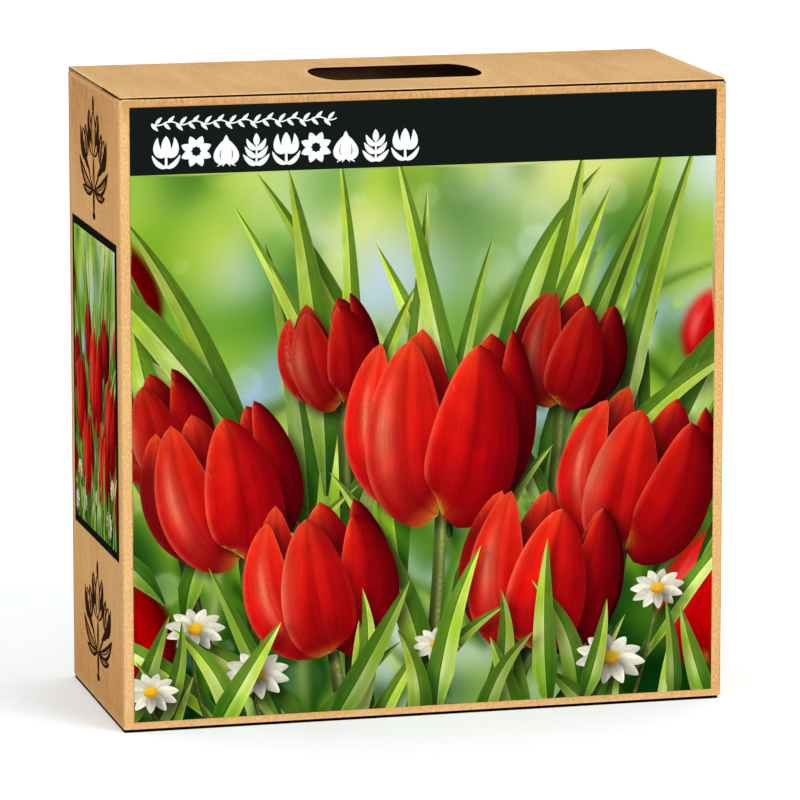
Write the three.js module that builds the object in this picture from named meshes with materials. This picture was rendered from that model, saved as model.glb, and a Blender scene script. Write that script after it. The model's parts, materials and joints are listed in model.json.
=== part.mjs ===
// Kraft cardboard carton for flower bulbs: a folded sleeve with a glued bottom, a tuck-in lid with a
// hand slot, dust flaps under the lid, paper labels, and three crown imperial bulbs inside.
//
// Millimetres, +Z up. The origin is the middle of the footprint, on the surface the carton stands on.
// The front faces -Y, and the lid folds back about the crease along the back wall's top edge.
// All of the board is one blank: each panel that moves at a crease, or that is glued down on another,
// is a solid of its own, RUNNING_GAP clear of what it folds past.

import * as THREE from 'three';

// ---- driving dimensions ----

const WIDTH = 300; // along X
const DEPTH = 126; // along Y
const HEIGHT = 308; // along Z
const BOARD = 1.25; // thin corrugated board
const CREASE_RADIUS = 1.6; // outside radius of the four upright creases
const RUNNING_GAP = 0.3; // between two pieces that move or lie past each other
const CORNER_STEPS = 4; // how finely a small rounded corner is cut
const SLOT_STEPS = 16;

const LID_SEAM = 0.625; // open seam between the lid and the walls' top edges
const LID_SIDE_CLEARANCE = 0.5; // the lid stops this far inside the side walls' outer faces
const LID_FRONT_CLEARANCE = 0.2;
const LID_BACK_CLEARANCE = 0.7;

const SLOT_LENGTH = 84; // hand slot, for four fingers
const SLOT_WIDTH = 51;
const SLOT_END = 10; // length of each half-elliptical end

const TUCK_LENGTH = 25;
const TUCK_LEAN = THREE.MathUtils.degToRad(12); // it leans in, so that it swings clear of the front wall
const TUCK_SIDE_CLEARANCE = 7; // from the side walls' outer faces
const TUCK_WALL_GAP = 0.5;
const TUCK_CORNER = 9;

const DUST_FLAP_LENGTH = 95; // ends short of the hand slot
const DUST_FLAP_FRONT = 10.2; // its front edge stays behind the tuck flap
const DUST_FLAP_BACK = 2.7;
const DUST_FLAP_TAPER = 6;
const DUST_FLAP_CORNER = 7;

const GLUE_FLAP_WIDTH = 28;
const GLUE_FLAP_TOP_CLEARANCE = 6; // its top end stays below the dust flap's fold

const BOTTOM_INNER_DEPTH = 86;
const BOTTOM_DUST_LENGTH = 100;
const BOTTOM_SIDE_CLEARANCE = 3;

const PAPER = 0.25; // label thickness
const FRONT_LABEL_MARGIN = 5; // kraft border left bare round the front label
const SIDE_LABEL_MARGIN = 9; // from the side wall's upright edges
const SIDE_LABEL_LOW = 82;
const SIDE_LABEL_HIGH = 236;

const BULB_SPACING = 97;
const BULBS = [
  { name: 'bulb_left', across: 84, turn: 0.4, y: 3 },
  { name: 'bulb_middle', across: 88, turn: 1.5, y: -2 },
  { name: 'bulb_right', across: 81, turn: 2.7, y: 4 },
];

// ---- levels and faces that the dimensions give ----

const halfWidth = WIDTH / 2;
const halfDepth = DEPTH / 2;
const innerX = halfWidth - BOARD;
const innerY = halfDepth - BOARD;
const lidUnderside = HEIGHT - BOARD;
const wallTop = lidUnderside - LID_SEAM;
const outerBottomTop = BOARD;
const innerBottomTop = outerBottomTop + BOARD;
const bottomDustTop = innerBottomTop + BOARD;

// ---- materials ----

const kraft = () => new THREE.MeshStandardMaterial({ color: '#cf9d63', roughness: 0.85, metalness: 0 });
const printedPaper = (color) => new THREE.MeshStandardMaterial({ color, roughness: 0.45, metalness: 0 });
const bulbScale = () => new THREE.MeshStandardMaterial({ color: '#d8c08a', roughness: 0.7, metalness: 0 });

// ---- shapes ----

function mesh(name, geometry, material) {
  const piece = new THREE.Mesh(geometry, material);
  piece.name = name;
  return piece;
}

// A plate of board: an outline drawn in XY, raised along +Z.
function plate(outline, thickness, steps = CORNER_STEPS) {
  return new THREE.ExtrudeGeometry(outline, { depth: thickness, bevelEnabled: false, curveSegments: steps });
}

// Traces a rectangle whose four corners are quarter circles, onto a Shape or a Path.
function roundedRectangle(path, x0, y0, x1, y1, radius) {
  path.moveTo(x0 + radius, y0);
  path.lineTo(x1 - radius, y0);
  path.absarc(x1 - radius, y0 + radius, radius, -Math.PI / 2, 0);
  path.lineTo(x1, y1 - radius);
  path.absarc(x1 - radius, y1 - radius, radius, 0, Math.PI / 2);
  path.lineTo(x0 + radius, y1);
  path.absarc(x0 + radius, y1 - radius, radius, Math.PI / 2, Math.PI);
  path.lineTo(x0, y0 + radius);
  path.absarc(x0 + radius, y0 + radius, radius, Math.PI, Math.PI * 1.5);
  return path;
}

// A polygon whose listed corners are rounded, each between its two neighbours.
function roundedPolygon(corners) {
  const shape = new THREE.Shape();
  corners.forEach(({ x, y, radius = 0 }, i) => {
    const corner = new THREE.Vector2(x, y);
    const before = corners[(i + corners.length - 1) % corners.length];
    const after = corners[(i + 1) % corners.length];
    const enter = new THREE.Vector2(before.x, before.y).sub(corner).setLength(radius).add(corner);
    const leave = new THREE.Vector2(after.x, after.y).sub(corner).setLength(radius).add(corner);
    if (i === 0) shape.moveTo(enter.x, enter.y);
    else shape.lineTo(enter.x, enter.y);
    if (radius > 0) shape.quadraticCurveTo(corner.x, corner.y, leave.x, leave.y);
  });
  shape.closePath();
  return shape;
}

// ---- walls and bottom ----

function cartonSleeve() {
  const outline = roundedRectangle(
    new THREE.Shape(), -halfWidth, -halfDepth, halfWidth, halfDepth, CREASE_RADIUS);
  const inside = roundedRectangle(
    new THREE.Path(), -innerX, -innerY, innerX, innerY, CREASE_RADIUS - BOARD);
  outline.holes.push(inside);
  const sleeve = mesh('carton_sleeve', plate(outline, wallTop - outerBottomTop), kraft());
  sleeve.position.z = outerBottomTop;
  return sleeve;
}

// Folded in from the left wall and glued flat on the inside of the back wall.
function glueFlap() {
  const low = bottomDustTop + RUNNING_GAP;
  const high = wallTop - GLUE_FLAP_TOP_CLEARANCE;
  const flap = mesh('glue_flap', new THREE.BoxGeometry(GLUE_FLAP_WIDTH, BOARD, high - low), kraft());
  flap.position.set(
    -innerX + 2 * RUNNING_GAP + GLUE_FLAP_WIDTH / 2,
    innerY - BOARD / 2,
    (low + high) / 2);
  return flap;
}

function bottomOuterPanel() {
  const outline = roundedRectangle(
    new THREE.Shape(), -halfWidth, -halfDepth, halfWidth, halfDepth, CREASE_RADIUS);
  return mesh('bottom_outer_panel', plate(outline, BOARD), kraft());
}

// Comes from the back wall and lies glued on the outer panel.
function bottomInnerPanel() {
  const back = innerY - RUNNING_GAP;
  const outline = roundedRectangle(
    new THREE.Shape(), -innerX + 1, back - BOTTOM_INNER_DEPTH, innerX - 1, back, 2);
  const panel = mesh('bottom_inner_panel', plate(outline, BOARD), kraft());
  panel.position.z = outerBottomTop;
  return panel;
}

function bottomDustFlap(name, side) {
  const fold = side * (innerX - RUNNING_GAP);
  const tip = fold - side * BOTTOM_DUST_LENGTH;
  const edge = innerY - BOTTOM_SIDE_CLEARANCE;
  const outline = roundedRectangle(
    new THREE.Shape(), Math.min(fold, tip), -edge, Math.max(fold, tip), edge, 3);
  const flap = mesh(name, plate(outline, BOARD), kraft());
  flap.position.z = innerBottomTop;
  return flap;
}

// ---- lid ----

// The oval-ended hole that four fingers go through.
function handSlot() {
  const straight = SLOT_LENGTH / 2 - SLOT_END;
  const slot = new THREE.Path();
  slot.moveTo(-straight, -SLOT_WIDTH / 2);
  slot.lineTo(straight, -SLOT_WIDTH / 2);
  slot.absellipse(straight, 0, SLOT_END, SLOT_WIDTH / 2, -Math.PI / 2, Math.PI / 2);
  slot.lineTo(-straight, SLOT_WIDTH / 2);
  slot.absellipse(-straight, 0, SLOT_END, SLOT_WIDTH / 2, Math.PI / 2, Math.PI * 1.5);
  return slot;
}

function lidPanel() {
  const side = halfWidth - LID_SIDE_CLEARANCE;
  const front = -halfDepth + LID_FRONT_CLEARANCE;
  const back = halfDepth - LID_BACK_CLEARANCE;
  const outline = roundedPolygon([
    { x: -side, y: front, radius: CREASE_RADIUS },
    { x: side, y: front, radius: CREASE_RADIUS },
    { x: side, y: back },
    { x: -side, y: back },
  ]);
  outline.holes.push(handSlot());
  const lid = mesh('lid_panel', plate(outline, BOARD, SLOT_STEPS), kraft());
  lid.position.z = lidUnderside;
  return lid;
}

// Hangs from the lid's front crease, behind the front wall, leaning towards the inside.
function tuckFlap() {
  const side = halfWidth - TUCK_SIDE_CLEARANCE;
  const outline = roundedPolygon([
    { x: -side, y: -TUCK_LENGTH, radius: TUCK_CORNER },
    { x: side, y: -TUCK_LENGTH, radius: TUCK_CORNER },
    { x: side, y: 0 },
    { x: -side, y: 0 },
  ]);
  const geometry = plate(outline, BOARD);
  geometry.translate(0, 0, -BOARD); // the outline's face is the flap's outer face, on the fold line
  const flap = mesh('tuck_flap', geometry, kraft());
  flap.position.set(0, -innerY + TUCK_WALL_GAP, lidUnderside - 2 * RUNNING_GAP);
  flap.rotation.x = Math.PI / 2 + TUCK_LEAN;
  return flap;
}

// Folds in from the top of a side wall and lies under the lid.
function dustFlap(name, side) {
  const fold = side * (innerX - RUNNING_GAP);
  const tip = fold - side * DUST_FLAP_LENGTH;
  const front = -halfDepth + DUST_FLAP_FRONT;
  const back = halfDepth - DUST_FLAP_BACK;
  const corners = [
    { x: fold, y: front },
    { x: tip, y: front + DUST_FLAP_TAPER, radius: DUST_FLAP_CORNER },
    { x: tip, y: back - DUST_FLAP_TAPER, radius: DUST_FLAP_CORNER },
    { x: fold, y: back },
  ];
  const flap = mesh(name, plate(roundedPolygon(corners), BOARD), kraft());
  flap.position.z = lidUnderside - RUNNING_GAP - BOARD;
  return flap;
}

// ---- labels ----

function frontLabel() {
  const geometry = new THREE.BoxGeometry(
    WIDTH - 2 * FRONT_LABEL_MARGIN, PAPER, HEIGHT - 2 * FRONT_LABEL_MARGIN);
  const label = mesh('front_label', geometry, printedPaper('#3d5a1e'));
  label.position.set(0, -halfDepth - PAPER / 2, HEIGHT / 2);
  return label;
}

function sideLabel(name, side) {
  const geometry = new THREE.BoxGeometry(
    PAPER, DEPTH - 2 * SIDE_LABEL_MARGIN, SIDE_LABEL_HIGH - SIDE_LABEL_LOW);
  const label = mesh(name, geometry, printedPaper('#3a4a22'));
  label.position.set(side * (halfWidth + PAPER / 2), 0, (SIDE_LABEL_LOW + SIDE_LABEL_HIGH) / 2);
  return label;
}

// ---- bulbs ----

// Half outline of a bulb 1 across, from the middle of its root plate up over its shoulder and down
// into the hole that last year's stem left.
const BULB_PROFILE = new THREE.SplineCurve([
  [0.21, 0], [0.3, 0.05], [0.43, 0.14], [0.5, 0.31], [0.48, 0.48], [0.38, 0.64],
  [0.24, 0.75], [0.15, 0.76], [0.11, 0.7], [0.09, 0.58],
].map(([x, y]) => new THREE.Vector2(x, y)));
const BULB_PROFILE_STEPS = 18;
const BULB_ROUND_STEPS = 40;
const BULB_HOLE_FLOOR = 0.54;
const CLEFT_DEPTH = 0.07; // of the radius, where the two fleshy scales meet
const CLEFT_WIDTH = 0.3; // radians

function bulb({ name, across, turn, y }, x, restsOn) {
  const profile = [
    new THREE.Vector2(0, 0),
    ...BULB_PROFILE.getPoints(BULB_PROFILE_STEPS),
    new THREE.Vector2(0, BULB_HOLE_FLOOR),
  ];
  const geometry = new THREE.LatheGeometry(profile, BULB_ROUND_STEPS);
  geometry.rotateX(Math.PI / 2);
  const points = geometry.attributes.position;
  for (let i = 0; i < points.count; i += 1) {
    const angle = Math.atan2(points.getY(i), points.getX(i));
    const fromCleft = Math.abs(Math.sin(angle));
    const rise = Math.min(1, points.getZ(i) / BULB_HOLE_FLOOR);
    const cleft = 1 - CLEFT_DEPTH * rise * Math.exp(-((fromCleft / CLEFT_WIDTH) ** 2));
    points.setXYZ(i, points.getX(i) * cleft, points.getY(i) * cleft, points.getZ(i));
  }
  geometry.rotateZ(turn);
  geometry.scale(across, across, across);
  const piece = mesh(name, geometry, bulbScale());
  piece.position.set(x, y, restsOn + RUNNING_GAP);
  return piece;
}

// ---- the carton ----

const walls = new THREE.Group();
walls.add(cartonSleeve(), glueFlap());

const bottom = new THREE.Group();
bottom.add(
  bottomOuterPanel(),
  bottomInnerPanel(),
  bottomDustFlap('bottom_dust_flap_left', -1),
  bottomDustFlap('bottom_dust_flap_right', 1));

const top = new THREE.Group();
top.add(lidPanel(), tuckFlap(), dustFlap('dust_flap_left', -1), dustFlap('dust_flap_right', 1));

const labels = new THREE.Group();
labels.add(frontLabel(), sideLabel('side_label_left', -1), sideLabel('side_label_right', 1));

// The outer two stand on the bottom dust flaps, and the middle one between them on the inner panel.
const contents = new THREE.Group();
const restHeights = [bottomDustTop, innerBottomTop, bottomDustTop];
BULBS.forEach((each, i) => contents.add(bulb(each, (i - 1) * BULB_SPACING, restHeights[i])));

const carton = new THREE.Group();
carton.add(walls, bottom, top, labels, contents);

export default carton;
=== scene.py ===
"""A kraft carton for flower bulbs: folded board, printed labels, and the bulbs inside.

Lengths are millimetres until a mesh is made. Every board is drawn flat first, as (across, along) on
the blank it was cut from, where along is the direction of the flutes, and is then put in its place.
"""
import json
import math
import random

import bmesh
import bpy
import numpy as np
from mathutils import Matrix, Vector
from mathutils.geometry import delaunay_2d_cdt


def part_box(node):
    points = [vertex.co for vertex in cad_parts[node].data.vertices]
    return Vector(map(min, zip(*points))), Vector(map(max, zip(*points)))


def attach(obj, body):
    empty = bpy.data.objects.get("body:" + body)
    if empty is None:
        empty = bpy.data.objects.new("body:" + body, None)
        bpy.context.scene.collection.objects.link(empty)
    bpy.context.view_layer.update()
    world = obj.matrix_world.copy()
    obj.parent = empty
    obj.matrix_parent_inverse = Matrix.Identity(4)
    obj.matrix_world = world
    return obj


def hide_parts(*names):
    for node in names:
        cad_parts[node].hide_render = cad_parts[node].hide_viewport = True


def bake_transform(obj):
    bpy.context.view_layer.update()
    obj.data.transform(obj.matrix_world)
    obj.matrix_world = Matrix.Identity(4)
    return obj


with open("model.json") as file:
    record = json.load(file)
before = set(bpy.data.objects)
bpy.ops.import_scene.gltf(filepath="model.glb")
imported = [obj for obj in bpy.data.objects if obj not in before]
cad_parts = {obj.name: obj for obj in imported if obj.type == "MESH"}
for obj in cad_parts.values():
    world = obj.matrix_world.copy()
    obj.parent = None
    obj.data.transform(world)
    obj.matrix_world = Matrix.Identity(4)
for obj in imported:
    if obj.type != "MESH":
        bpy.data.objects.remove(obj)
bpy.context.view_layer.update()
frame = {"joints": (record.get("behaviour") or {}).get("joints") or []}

MM = 0.001


def cad_box(node):
    """Lowest and highest corner of a CAD node, in millimetres."""
    low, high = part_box(node)
    return np.array(low) / MM, np.array(high) / MM


# ---- the board, from the frame ----

WALL_LOW, WALL_HIGH = cad_box("carton_sleeve")
LID_LOW, LID_HIGH = cad_box("lid_panel")
TUCK_LOW, TUCK_HIGH = cad_box("tuck_flap")
HALF_WIDTH, HALF_DEPTH = WALL_HIGH[0], WALL_HIGH[1]
TOP = LID_HIGH[2]
BOARD = LID_HIGH[2] - LID_LOW[2]
JOINTS = {joint["name"]: joint for joint in frame["joints"]}

LINER = 0.24  # thickness of each of the board's two flat papers
MEDIUM = 0.17  # and of the waved one between them
FLUTE = 3.2  # from wave to wave
FLUTE_STEPS = 8
MEDIUM_RECESS, RIBBON_DEPTH = 0.08, 3.2  # the waved paper is made from here to here, in from a cut edge
GRID = 6.0  # spacing of points over a flat panel
RIM = 0.9  # the edge wear's reach in from a cut edge
CREASE_RADIUS = 1.6  # of the lid's fold along the back wall
FOLD_RADIUS = 0.8  # of the carton's four upright folds, where the board is pressed thin
FOLD_THICKNESS = 0.76
HINGE_THICKNESS = 0.5  # of the board where the lid's crease was scored
CREASE_LIFT = 2.8  # below a fold, where the wall ends and the crease's own piece starts


# ---- small helpers ----

def ramp(at, stops):
    """Colours read off a list of (place, colour) stops."""
    places = [place for place, _ in stops]
    return np.stack([np.interp(at, places, [colour[i] for _, colour in stops]) for i in range(3)], -1)


def mix(below, above, share):
    """Blends one colour into another by a share for each point."""
    share = np.clip(np.asarray(share, float), 0, 1)[..., None]
    return below * (1 - share) + np.asarray(above, float) * share


def layered(colour, layers):
    """Blends the layers in, each a colour and its share, the first one first."""
    for above, share in layers:
        colour = mix(colour, above, share)
    return colour


def step(low, high, value):
    """0 below low, 1 above high, smooth in between."""
    share = np.clip((value - low) / (high - low), 0, 1)
    return share * share * (3 - 2 * share)


def hump(value, middle, width):
    """1 at the middle, and falling away on both sides of it."""
    return np.exp(-((value - middle) / width) ** 2)


def linear(srgb):
    """Scene-linear colour of an sRGB colour given in 0-255."""
    share = np.clip(np.asarray(srgb, float) / 255, 0, 1)
    return np.where(share <= 0.04045, share / 12.92, ((share + 0.055) / 1.055) ** 2.4)


def unit(rows):
    """The rows, each made one long."""
    return rows / np.maximum(np.linalg.norm(rows, axis=1), 1e-9)[:, None]


def walk(points):
    """The way along the line of points to each of them."""
    return np.concatenate([[0], np.cumsum(np.linalg.norm(np.diff(points, axis=0), axis=1))])


def distance_to_loops(points, loops):
    """Distance from each point to the nearest line of the closed loops."""
    nearest = np.full(len(points), np.inf)
    for loop in loops:
        a = np.asarray(loop, float)
        b = np.roll(a, -1, axis=0)
        ab = b - a
        size = np.maximum((ab * ab).sum(-1), 1e-12)
        for start in range(0, len(points), 2000):
            some = points[start:start + 2000]
            off = some[:, None] - a
            share = np.clip((off * ab).sum(-1) / size, 0, 1)
            off = off - ab * share[..., None]
            far = np.hypot(off[..., 0], off[..., 1]).min(1)
            nearest[start:start + 2000] = np.minimum(nearest[start:start + 2000], far)
    return nearest


def placed(name, data):
    """A new object in the scene."""
    new = bpy.data.objects.new(name, data)
    bpy.context.scene.collection.objects.link(new)
    return new


class Sheet:
    """Collects the faces of one object with their material, blank coordinates, wear, and crushing with
    painted shade.
    """

    def __init__(self):
        self.points, self.blank, self.wear, self.crush, self.faces, self.looks = [], [], [], [], [], []

    def add(self, points, blank, wear, faces, looks, crush=0.0):
        first = len(self.points)
        self.points.extend(np.asarray(points, float).tolist())
        self.blank.extend(np.asarray(blank, float).tolist())
        self.wear.extend(np.broadcast_to(wear, len(points)).tolist())
        self.crush.extend(np.broadcast_to(crush, len(points)).tolist())
        self.faces.extend([first + i for i in face] for face in faces)
        self.looks.extend(looks)

    def make(self, name, body, slot, materials, replaces=(), smooth=False):
        mesh = bpy.data.meshes.new(name)
        mesh.from_pydata((np.array(self.points) * MM).tolist(), [], self.faces)
        for material in materials:
            mesh.materials.append(material)
        mesh.polygons.foreach_set("material_index", self.looks)
        corners = np.zeros(len(mesh.loops), np.int32)
        mesh.loops.foreach_get("vertex_index", corners)
        layer = mesh.uv_layers.new(name="blank")
        layer.data.foreach_set("uv", np.array(self.blank, np.float32)[corners].ravel())
        for kind, values in (("wear", self.wear), ("crush", self.crush)):
            attribute = mesh.attributes.new(kind, "FLOAT", "POINT")
            attribute.data.foreach_set("value", np.array(values, np.float32))
        turn_outward(mesh)
        mesh.shade_smooth() if smooth else mesh.shade_flat()
        piece = placed(name, mesh)
        if body:
            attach(piece, body)
        if replaces:
            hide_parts(*replaces)
        return piece


def turn_outward(mesh):
    """Makes every face of the closed shells point out."""
    work = bmesh.new()
    work.from_mesh(mesh)
    bmesh.ops.recalc_face_normals(work, faces=work.faces)
    work.to_mesh(mesh)
    work.free()
    mesh.update()


# ---- boards ----

# The last slot is painted shade: a near-black look for the hollow between the papers, for gaps and for cut
# edges in shade.
OUTSIDE, INSIDE, CUT, HOLLOW_SHADE = 0, 1, 2, 3  # a board's material slots


class Bend:
    """A line in a plane made of straight runs and left turns, walked by its length."""

    def __init__(self, start, heading):
        self.parts = []
        self.end = np.array(start, float)
        self.heading = math.radians(heading)
        self.stops = [0.0]

    def run(self, length):
        return self._part(length, 0.0)

    def turn(self, radius):
        """A quarter turn."""
        return self._part(radius * math.pi / 2, 1 / radius)

    def _part(self, length, curve):
        self.parts.append((self.stops[-1], self.end, self.heading, curve))
        self.stops.append(self.stops[-1] + length)
        point, _ = self.at(np.array([self.stops[-1]]))
        self.end, self.heading = point[0], self.heading + curve * length
        return self

    def at(self, walked):
        """Points on the line, and the unit normals to the right of its heading."""
        points = np.zeros((len(walked), 2))
        normals = np.zeros((len(walked), 2))
        for i, (begin, start, heading, curve) in enumerate(self.parts):
            here = walked >= begin - 1e-9 if i else np.ones(len(walked), bool)
            done = walked[here] - begin
            turned = heading + curve * done
            if curve:
                turning = np.sin(turned) - np.sin(heading), np.cos(heading) - np.cos(turned)
                along = np.stack(turning, -1) / curve
            else:
                along = done[:, None] * np.array([math.cos(heading), math.sin(heading)])
            points[here] = start + along
            normals[here] = np.stack([np.sin(turned), -np.cos(turned)], -1)
        return points, normals

    def bends(self, arc_steps=4):
        """The places of a mesh's points on the turns."""
        turns = [(begin, end) for (begin, _, _, curve), end in zip(self.parts, self.stops[1:]) if curve]
        return np.concatenate([np.linspace(begin, end, arc_steps + 1) for begin, end in turns])

    def columns(self, spacing, arc_steps=4):
        """Places along the line for points of a mesh: even on the runs, closer on the turns."""
        places = []
        for (begin, _, _, curve), end in zip(self.parts, self.stops[1:]):
            steps = arc_steps if curve else max(1, round((end - begin) / spacing))
            places.extend(np.linspace(begin, end, steps + 1)[:-1])
        return [*places, self.stops[-1]]


def even(start, end, spacing):
    return np.linspace(start, end, max(1, round(abs(end - start) / spacing)) + 1)


def divided(line, spacing, across=(), along=(), closed=True):
    """The line with points added at the grid's columns and rows, and never further apart than spacing."""
    line = np.asarray(line, float)
    ends = np.roll(line, -1, axis=0) if closed else line[1:]
    out = []
    for a, b in zip(line, ends):
        size = np.hypot(*(b - a))
        shares = set(np.linspace(0, 1, max(1, math.ceil(size / spacing)) + 1)[:-1])
        for axis, places in ((0, across), (1, along)):
            if abs(b[axis] - a[axis]) > 1e-6:
                cut = (np.asarray(places) - a[axis]) / (b[axis] - a[axis])
                shares |= set(cut[(cut > 1e-3) & (cut < 1 - 1e-3)])
        for share in sorted(shares):
            point = a + (b - a) * share
            if not out or np.hypot(*(point - out[-1])) > 0.05:
                out.append(point)
    if not closed:
        out.append(line[-1])
    return np.array(out)


def leftward(line, closed=True):
    """Unit normals to the left of the line at its points, towards the board that it bounds."""
    along = np.roll(line, -1, axis=0) - np.roll(line, 1, axis=0) if closed else np.gradient(line, axis=0)
    along = unit(along)
    return np.stack([-along[:, 1], along[:, 0]], -1)


def fill(loops, inner, lines):
    """Triangles over the area inside the first loop and outside the others, none across the lines."""
    points, faces, edges = [], [], []
    for loop in loops:
        face = list(range(len(points), len(points) + len(loop)))
        faces.append(face[::-1] if faces else face)
        points.extend(Vector(point) for point in loop)
    for line in lines:
        edges.append((len(points), len(points) + 1))
        points.extend(Vector(point) for point in line)
    points.extend(Vector(point) for point in inner)
    found, _, triangles, _, _, within = delaunay_2d_cdt(points, edges, faces, 1, 1e-6)
    triangles = [triangle for triangle, of in zip(triangles, within) if set(of) == {0}]
    used = sorted({i for triangle in triangles for i in triangle})
    number = {old: new for new, old in enumerate(used)}
    flat = np.array([found[i][:] for i in used])
    return flat, [[number[i] for i in triangle] for triangle in triangles]


def border(triangles):
    """The edges that only one triangle has."""
    edges = {(a, b) for t in triangles for a, b in zip(t, t[1:] + t[:1])}
    return [(a, b) for a, b in edges if (b, a) not in edges]


def board(name, body, loops, place, materials, *, blank=lambda flat: flat, across=None, along=None,
          lines=(), cuts=None, worn=None, crush=None, dark=None, replaces=()):
    """A panel of corrugated board: two papers, and the waved one between them at its cut edges.

    loops are drawn with the board on their left. place puts flat points at heights above the
    inner face. across and along are the columns and rows of its points, evenly spaced where they
    aren't given. lines are the places where it bends, as segments that no triangle crosses. cuts
    are the stretches of the outline that were cut, all of it where none is given. worn says how
    rubbed points are, crush how much the flutes show through there, with painted shade on the side
    walls, and dark at which points the papers' own edges are painted as dark as the shade in the
    hollow between them.
    """
    sheet = Sheet()
    (left, near), (right, far) = np.min(loops[0], axis=0), np.max(loops[0], axis=0)
    across = even(left, right, GRID) if across is None else across
    along = even(near, far, GRID) if along is None else along
    loops = [divided(loop, GRID, across, along) for loop in loops]
    if cuts is None:
        cuts = [np.concatenate([loop, loop[:1]]) for loop in loops]
    cuts = [np.asarray(cut, float) for cut in cuts]
    grid = np.array([(a, b) for a in across for b in along]).reshape(-1, 2)
    ring = np.concatenate([loop + RIM * leftward(loop) for loop in loops])
    inside = distance_to_loops(grid, loops) > 2 * RIM
    flat, triangles = fill(loops, np.concatenate([grid[inside], ring]), lines)
    there_and_back = [np.concatenate([cut, cut[-2:0:-1]]) for cut in cuts]
    wear = np.exp(-distance_to_loops(flat, there_and_back) / RIM)
    if worn:
        wear = np.maximum(wear, worn(flat))
    count = len(flat)
    crushed = crush(flat) if crush else np.zeros(count)
    in_painted_shade = dark(flat) if dark else np.zeros(count, bool)
    edge = border(triangles)
    tops = [[i + count for i in t] for t in triangles]
    bottoms = [t[::-1] for t in triangles]
    sides = [[a, b, b + count, a + count] for a, b in edge]
    # The papers' faces towards the hollow between them get the near-black hollow look, which is painted
    # shade.
    for low, high, top, bottom, side in ((BOARD - LINER, BOARD, OUTSIDE, HOLLOW_SHADE, OUTSIDE),
                                         (0.0, LINER, HOLLOW_SHADE, INSIDE, INSIDE)):
        looks = [top] * len(tops) + [bottom] * len(bottoms)
        looks += [HOLLOW_SHADE if in_painted_shade[a] and in_painted_shade[b] else side for a, b in edge]
        points = np.concatenate([place(flat, np.full(count, height)) for height in (low, high)])
        sheet.add(points, np.tile(blank(flat), (2, 1)), np.tile(wear, 2), tops + bottoms + sides, looks,
                  np.tile(crushed, 2))
    for cut in cuts:
        add_medium(sheet, cut, place, blank, HOLLOW_SHADE if dark and dark(cut).all() else CUT)
    return sheet.make(name, body, "kraft_board", materials, replaces)


def add_medium(sheet, cut, place, blank, look):
    """The waved paper, seen end on along a cut edge."""
    line = divided(cut, FLUTE / FLUTE_STEPS, closed=False)
    inward = leftward(line, closed=False)
    swing = (BOARD - 2 * LINER - MEDIUM) / 2
    rings = []
    for depth in (MEDIUM_RECESS, RIBBON_DEPTH):
        flat = line + depth * inward
        wave = BOARD / 2 + swing * np.sin(2 * math.pi * blank(flat)[:, 0] / FLUTE)
        rings += [place(flat, wave - MEDIUM / 2), place(flat, wave + MEDIUM / 2)]
    outer_low, outer_high, inner_low, inner_high = rings
    points = np.concatenate([outer_low, outer_high, inner_high, inner_low])
    n = len(line)
    faces = [[0, n, 2 * n, 3 * n], [4 * n - 1, 3 * n - 1, 2 * n - 1, n - 1]]
    for ring in range(4):
        a, b = ring * n, (ring + 1) % 4 * n
        faces.extend([a + i, a + i + 1, b + i + 1, b + i] for i in range(n - 1))
    sheet.add(points, np.tile(blank(line), (4, 1)), 0.0, faces, [look] * len(faces))


def ring_faces(rings, size):
    """The faces between closed rings of points that follow each other."""
    return [[r * size + k, r * size + (k + 1) % size, (r + 1) * size + (k + 1) % size, (r + 1) * size + k]
            for r in range(rings - 1) for k in range(size)]


def corner(centre, radius, start, end, steps=5):
    """Points of an arc about centre, from one angle to another, in degrees."""
    angles = np.radians(np.linspace(start, end, steps + 1))
    return [(centre[0] + radius * math.cos(a), centre[1] + radius * math.sin(a)) for a in angles]


def rectangle(a0, b0, a1, b1):
    return [(a0, b0), (a1, b0), (a1, b1), (a0, b1)]


def rounded(x0, y0, x1, y1, radius):
    """A rectangle with round corners."""
    outline = []
    for x, y, start in ((x1, y0, -90), (x1, y1, 0), (x0, y1, 90), (x0, y0, 180)):
        centre = np.clip(x, x0 + radius, x1 - radius), np.clip(y, y0 + radius, y1 - radius)
        outline += corner(centre, radius, start, start + 90)
    return outline


def tongue(left, start, right, end, radius, taper=0.0):
    """A flap that starts square at its fold and has two round corners at its free end."""
    return [(left, start), (right, start), *corner((right - taper - radius, end - radius), radius, 0, 90),
            *corner((left + taper + radius, end - radius), radius, 90, 180)]


# ---- the carton's panels ----

WALL_START_GAP = 0.05  # between the left wall's fold and the back wall that covers it
BACK_END_GAP = 0.2  # the back wall's cut edge stops this far inside the left wall's face
DUST_CREASE_RADIUS = 1.5
CORNER_TOP = WALL_HIGH[2]  # the walls' top edge where no flap is folded from it
SIDE_TOP = CORNER_TOP + 0.4  # and that of the side walls, beside their flaps
SLIT = 0.35  # between a flap's fold and the wall beside it
CREASE_REACH = 5.5  # how far past a fold its crease piece goes
CREASE_SPACING, CREASE_STEPS = 1.2, 6  # of its points on the runs, and on the turn
FOLD_REACH = 2.5  # from an upright fold, where the board has its full thickness again
HINGE_REACH = (1.0, 2.4)  # the same for the lid's fold, which is thin up to the first of these
LID_CORNER = 0.9  # rounding of the lid's two front corners
LID_RIGHT_INSET = 0.7  # the lid is cut this short of the right wall's face
LEFT_SEAM_SHADE = 20.0  # the lid's left cut edge is painted as dark as shade from this far in front of its middle
TUCK_LEAN = math.radians(12)
TUCK_START = 2.5  # below its pivot, where the tuck flap's own board takes over from the fold
BEAD_HEIGHT, BEAD_RADIUS = 0.5, 0.24  # of the pressed fold along the lid's front edge
TUCK_CORNER = 9.0
DUST_CORNER, DUST_TAPER = 7.0, 6.0
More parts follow.
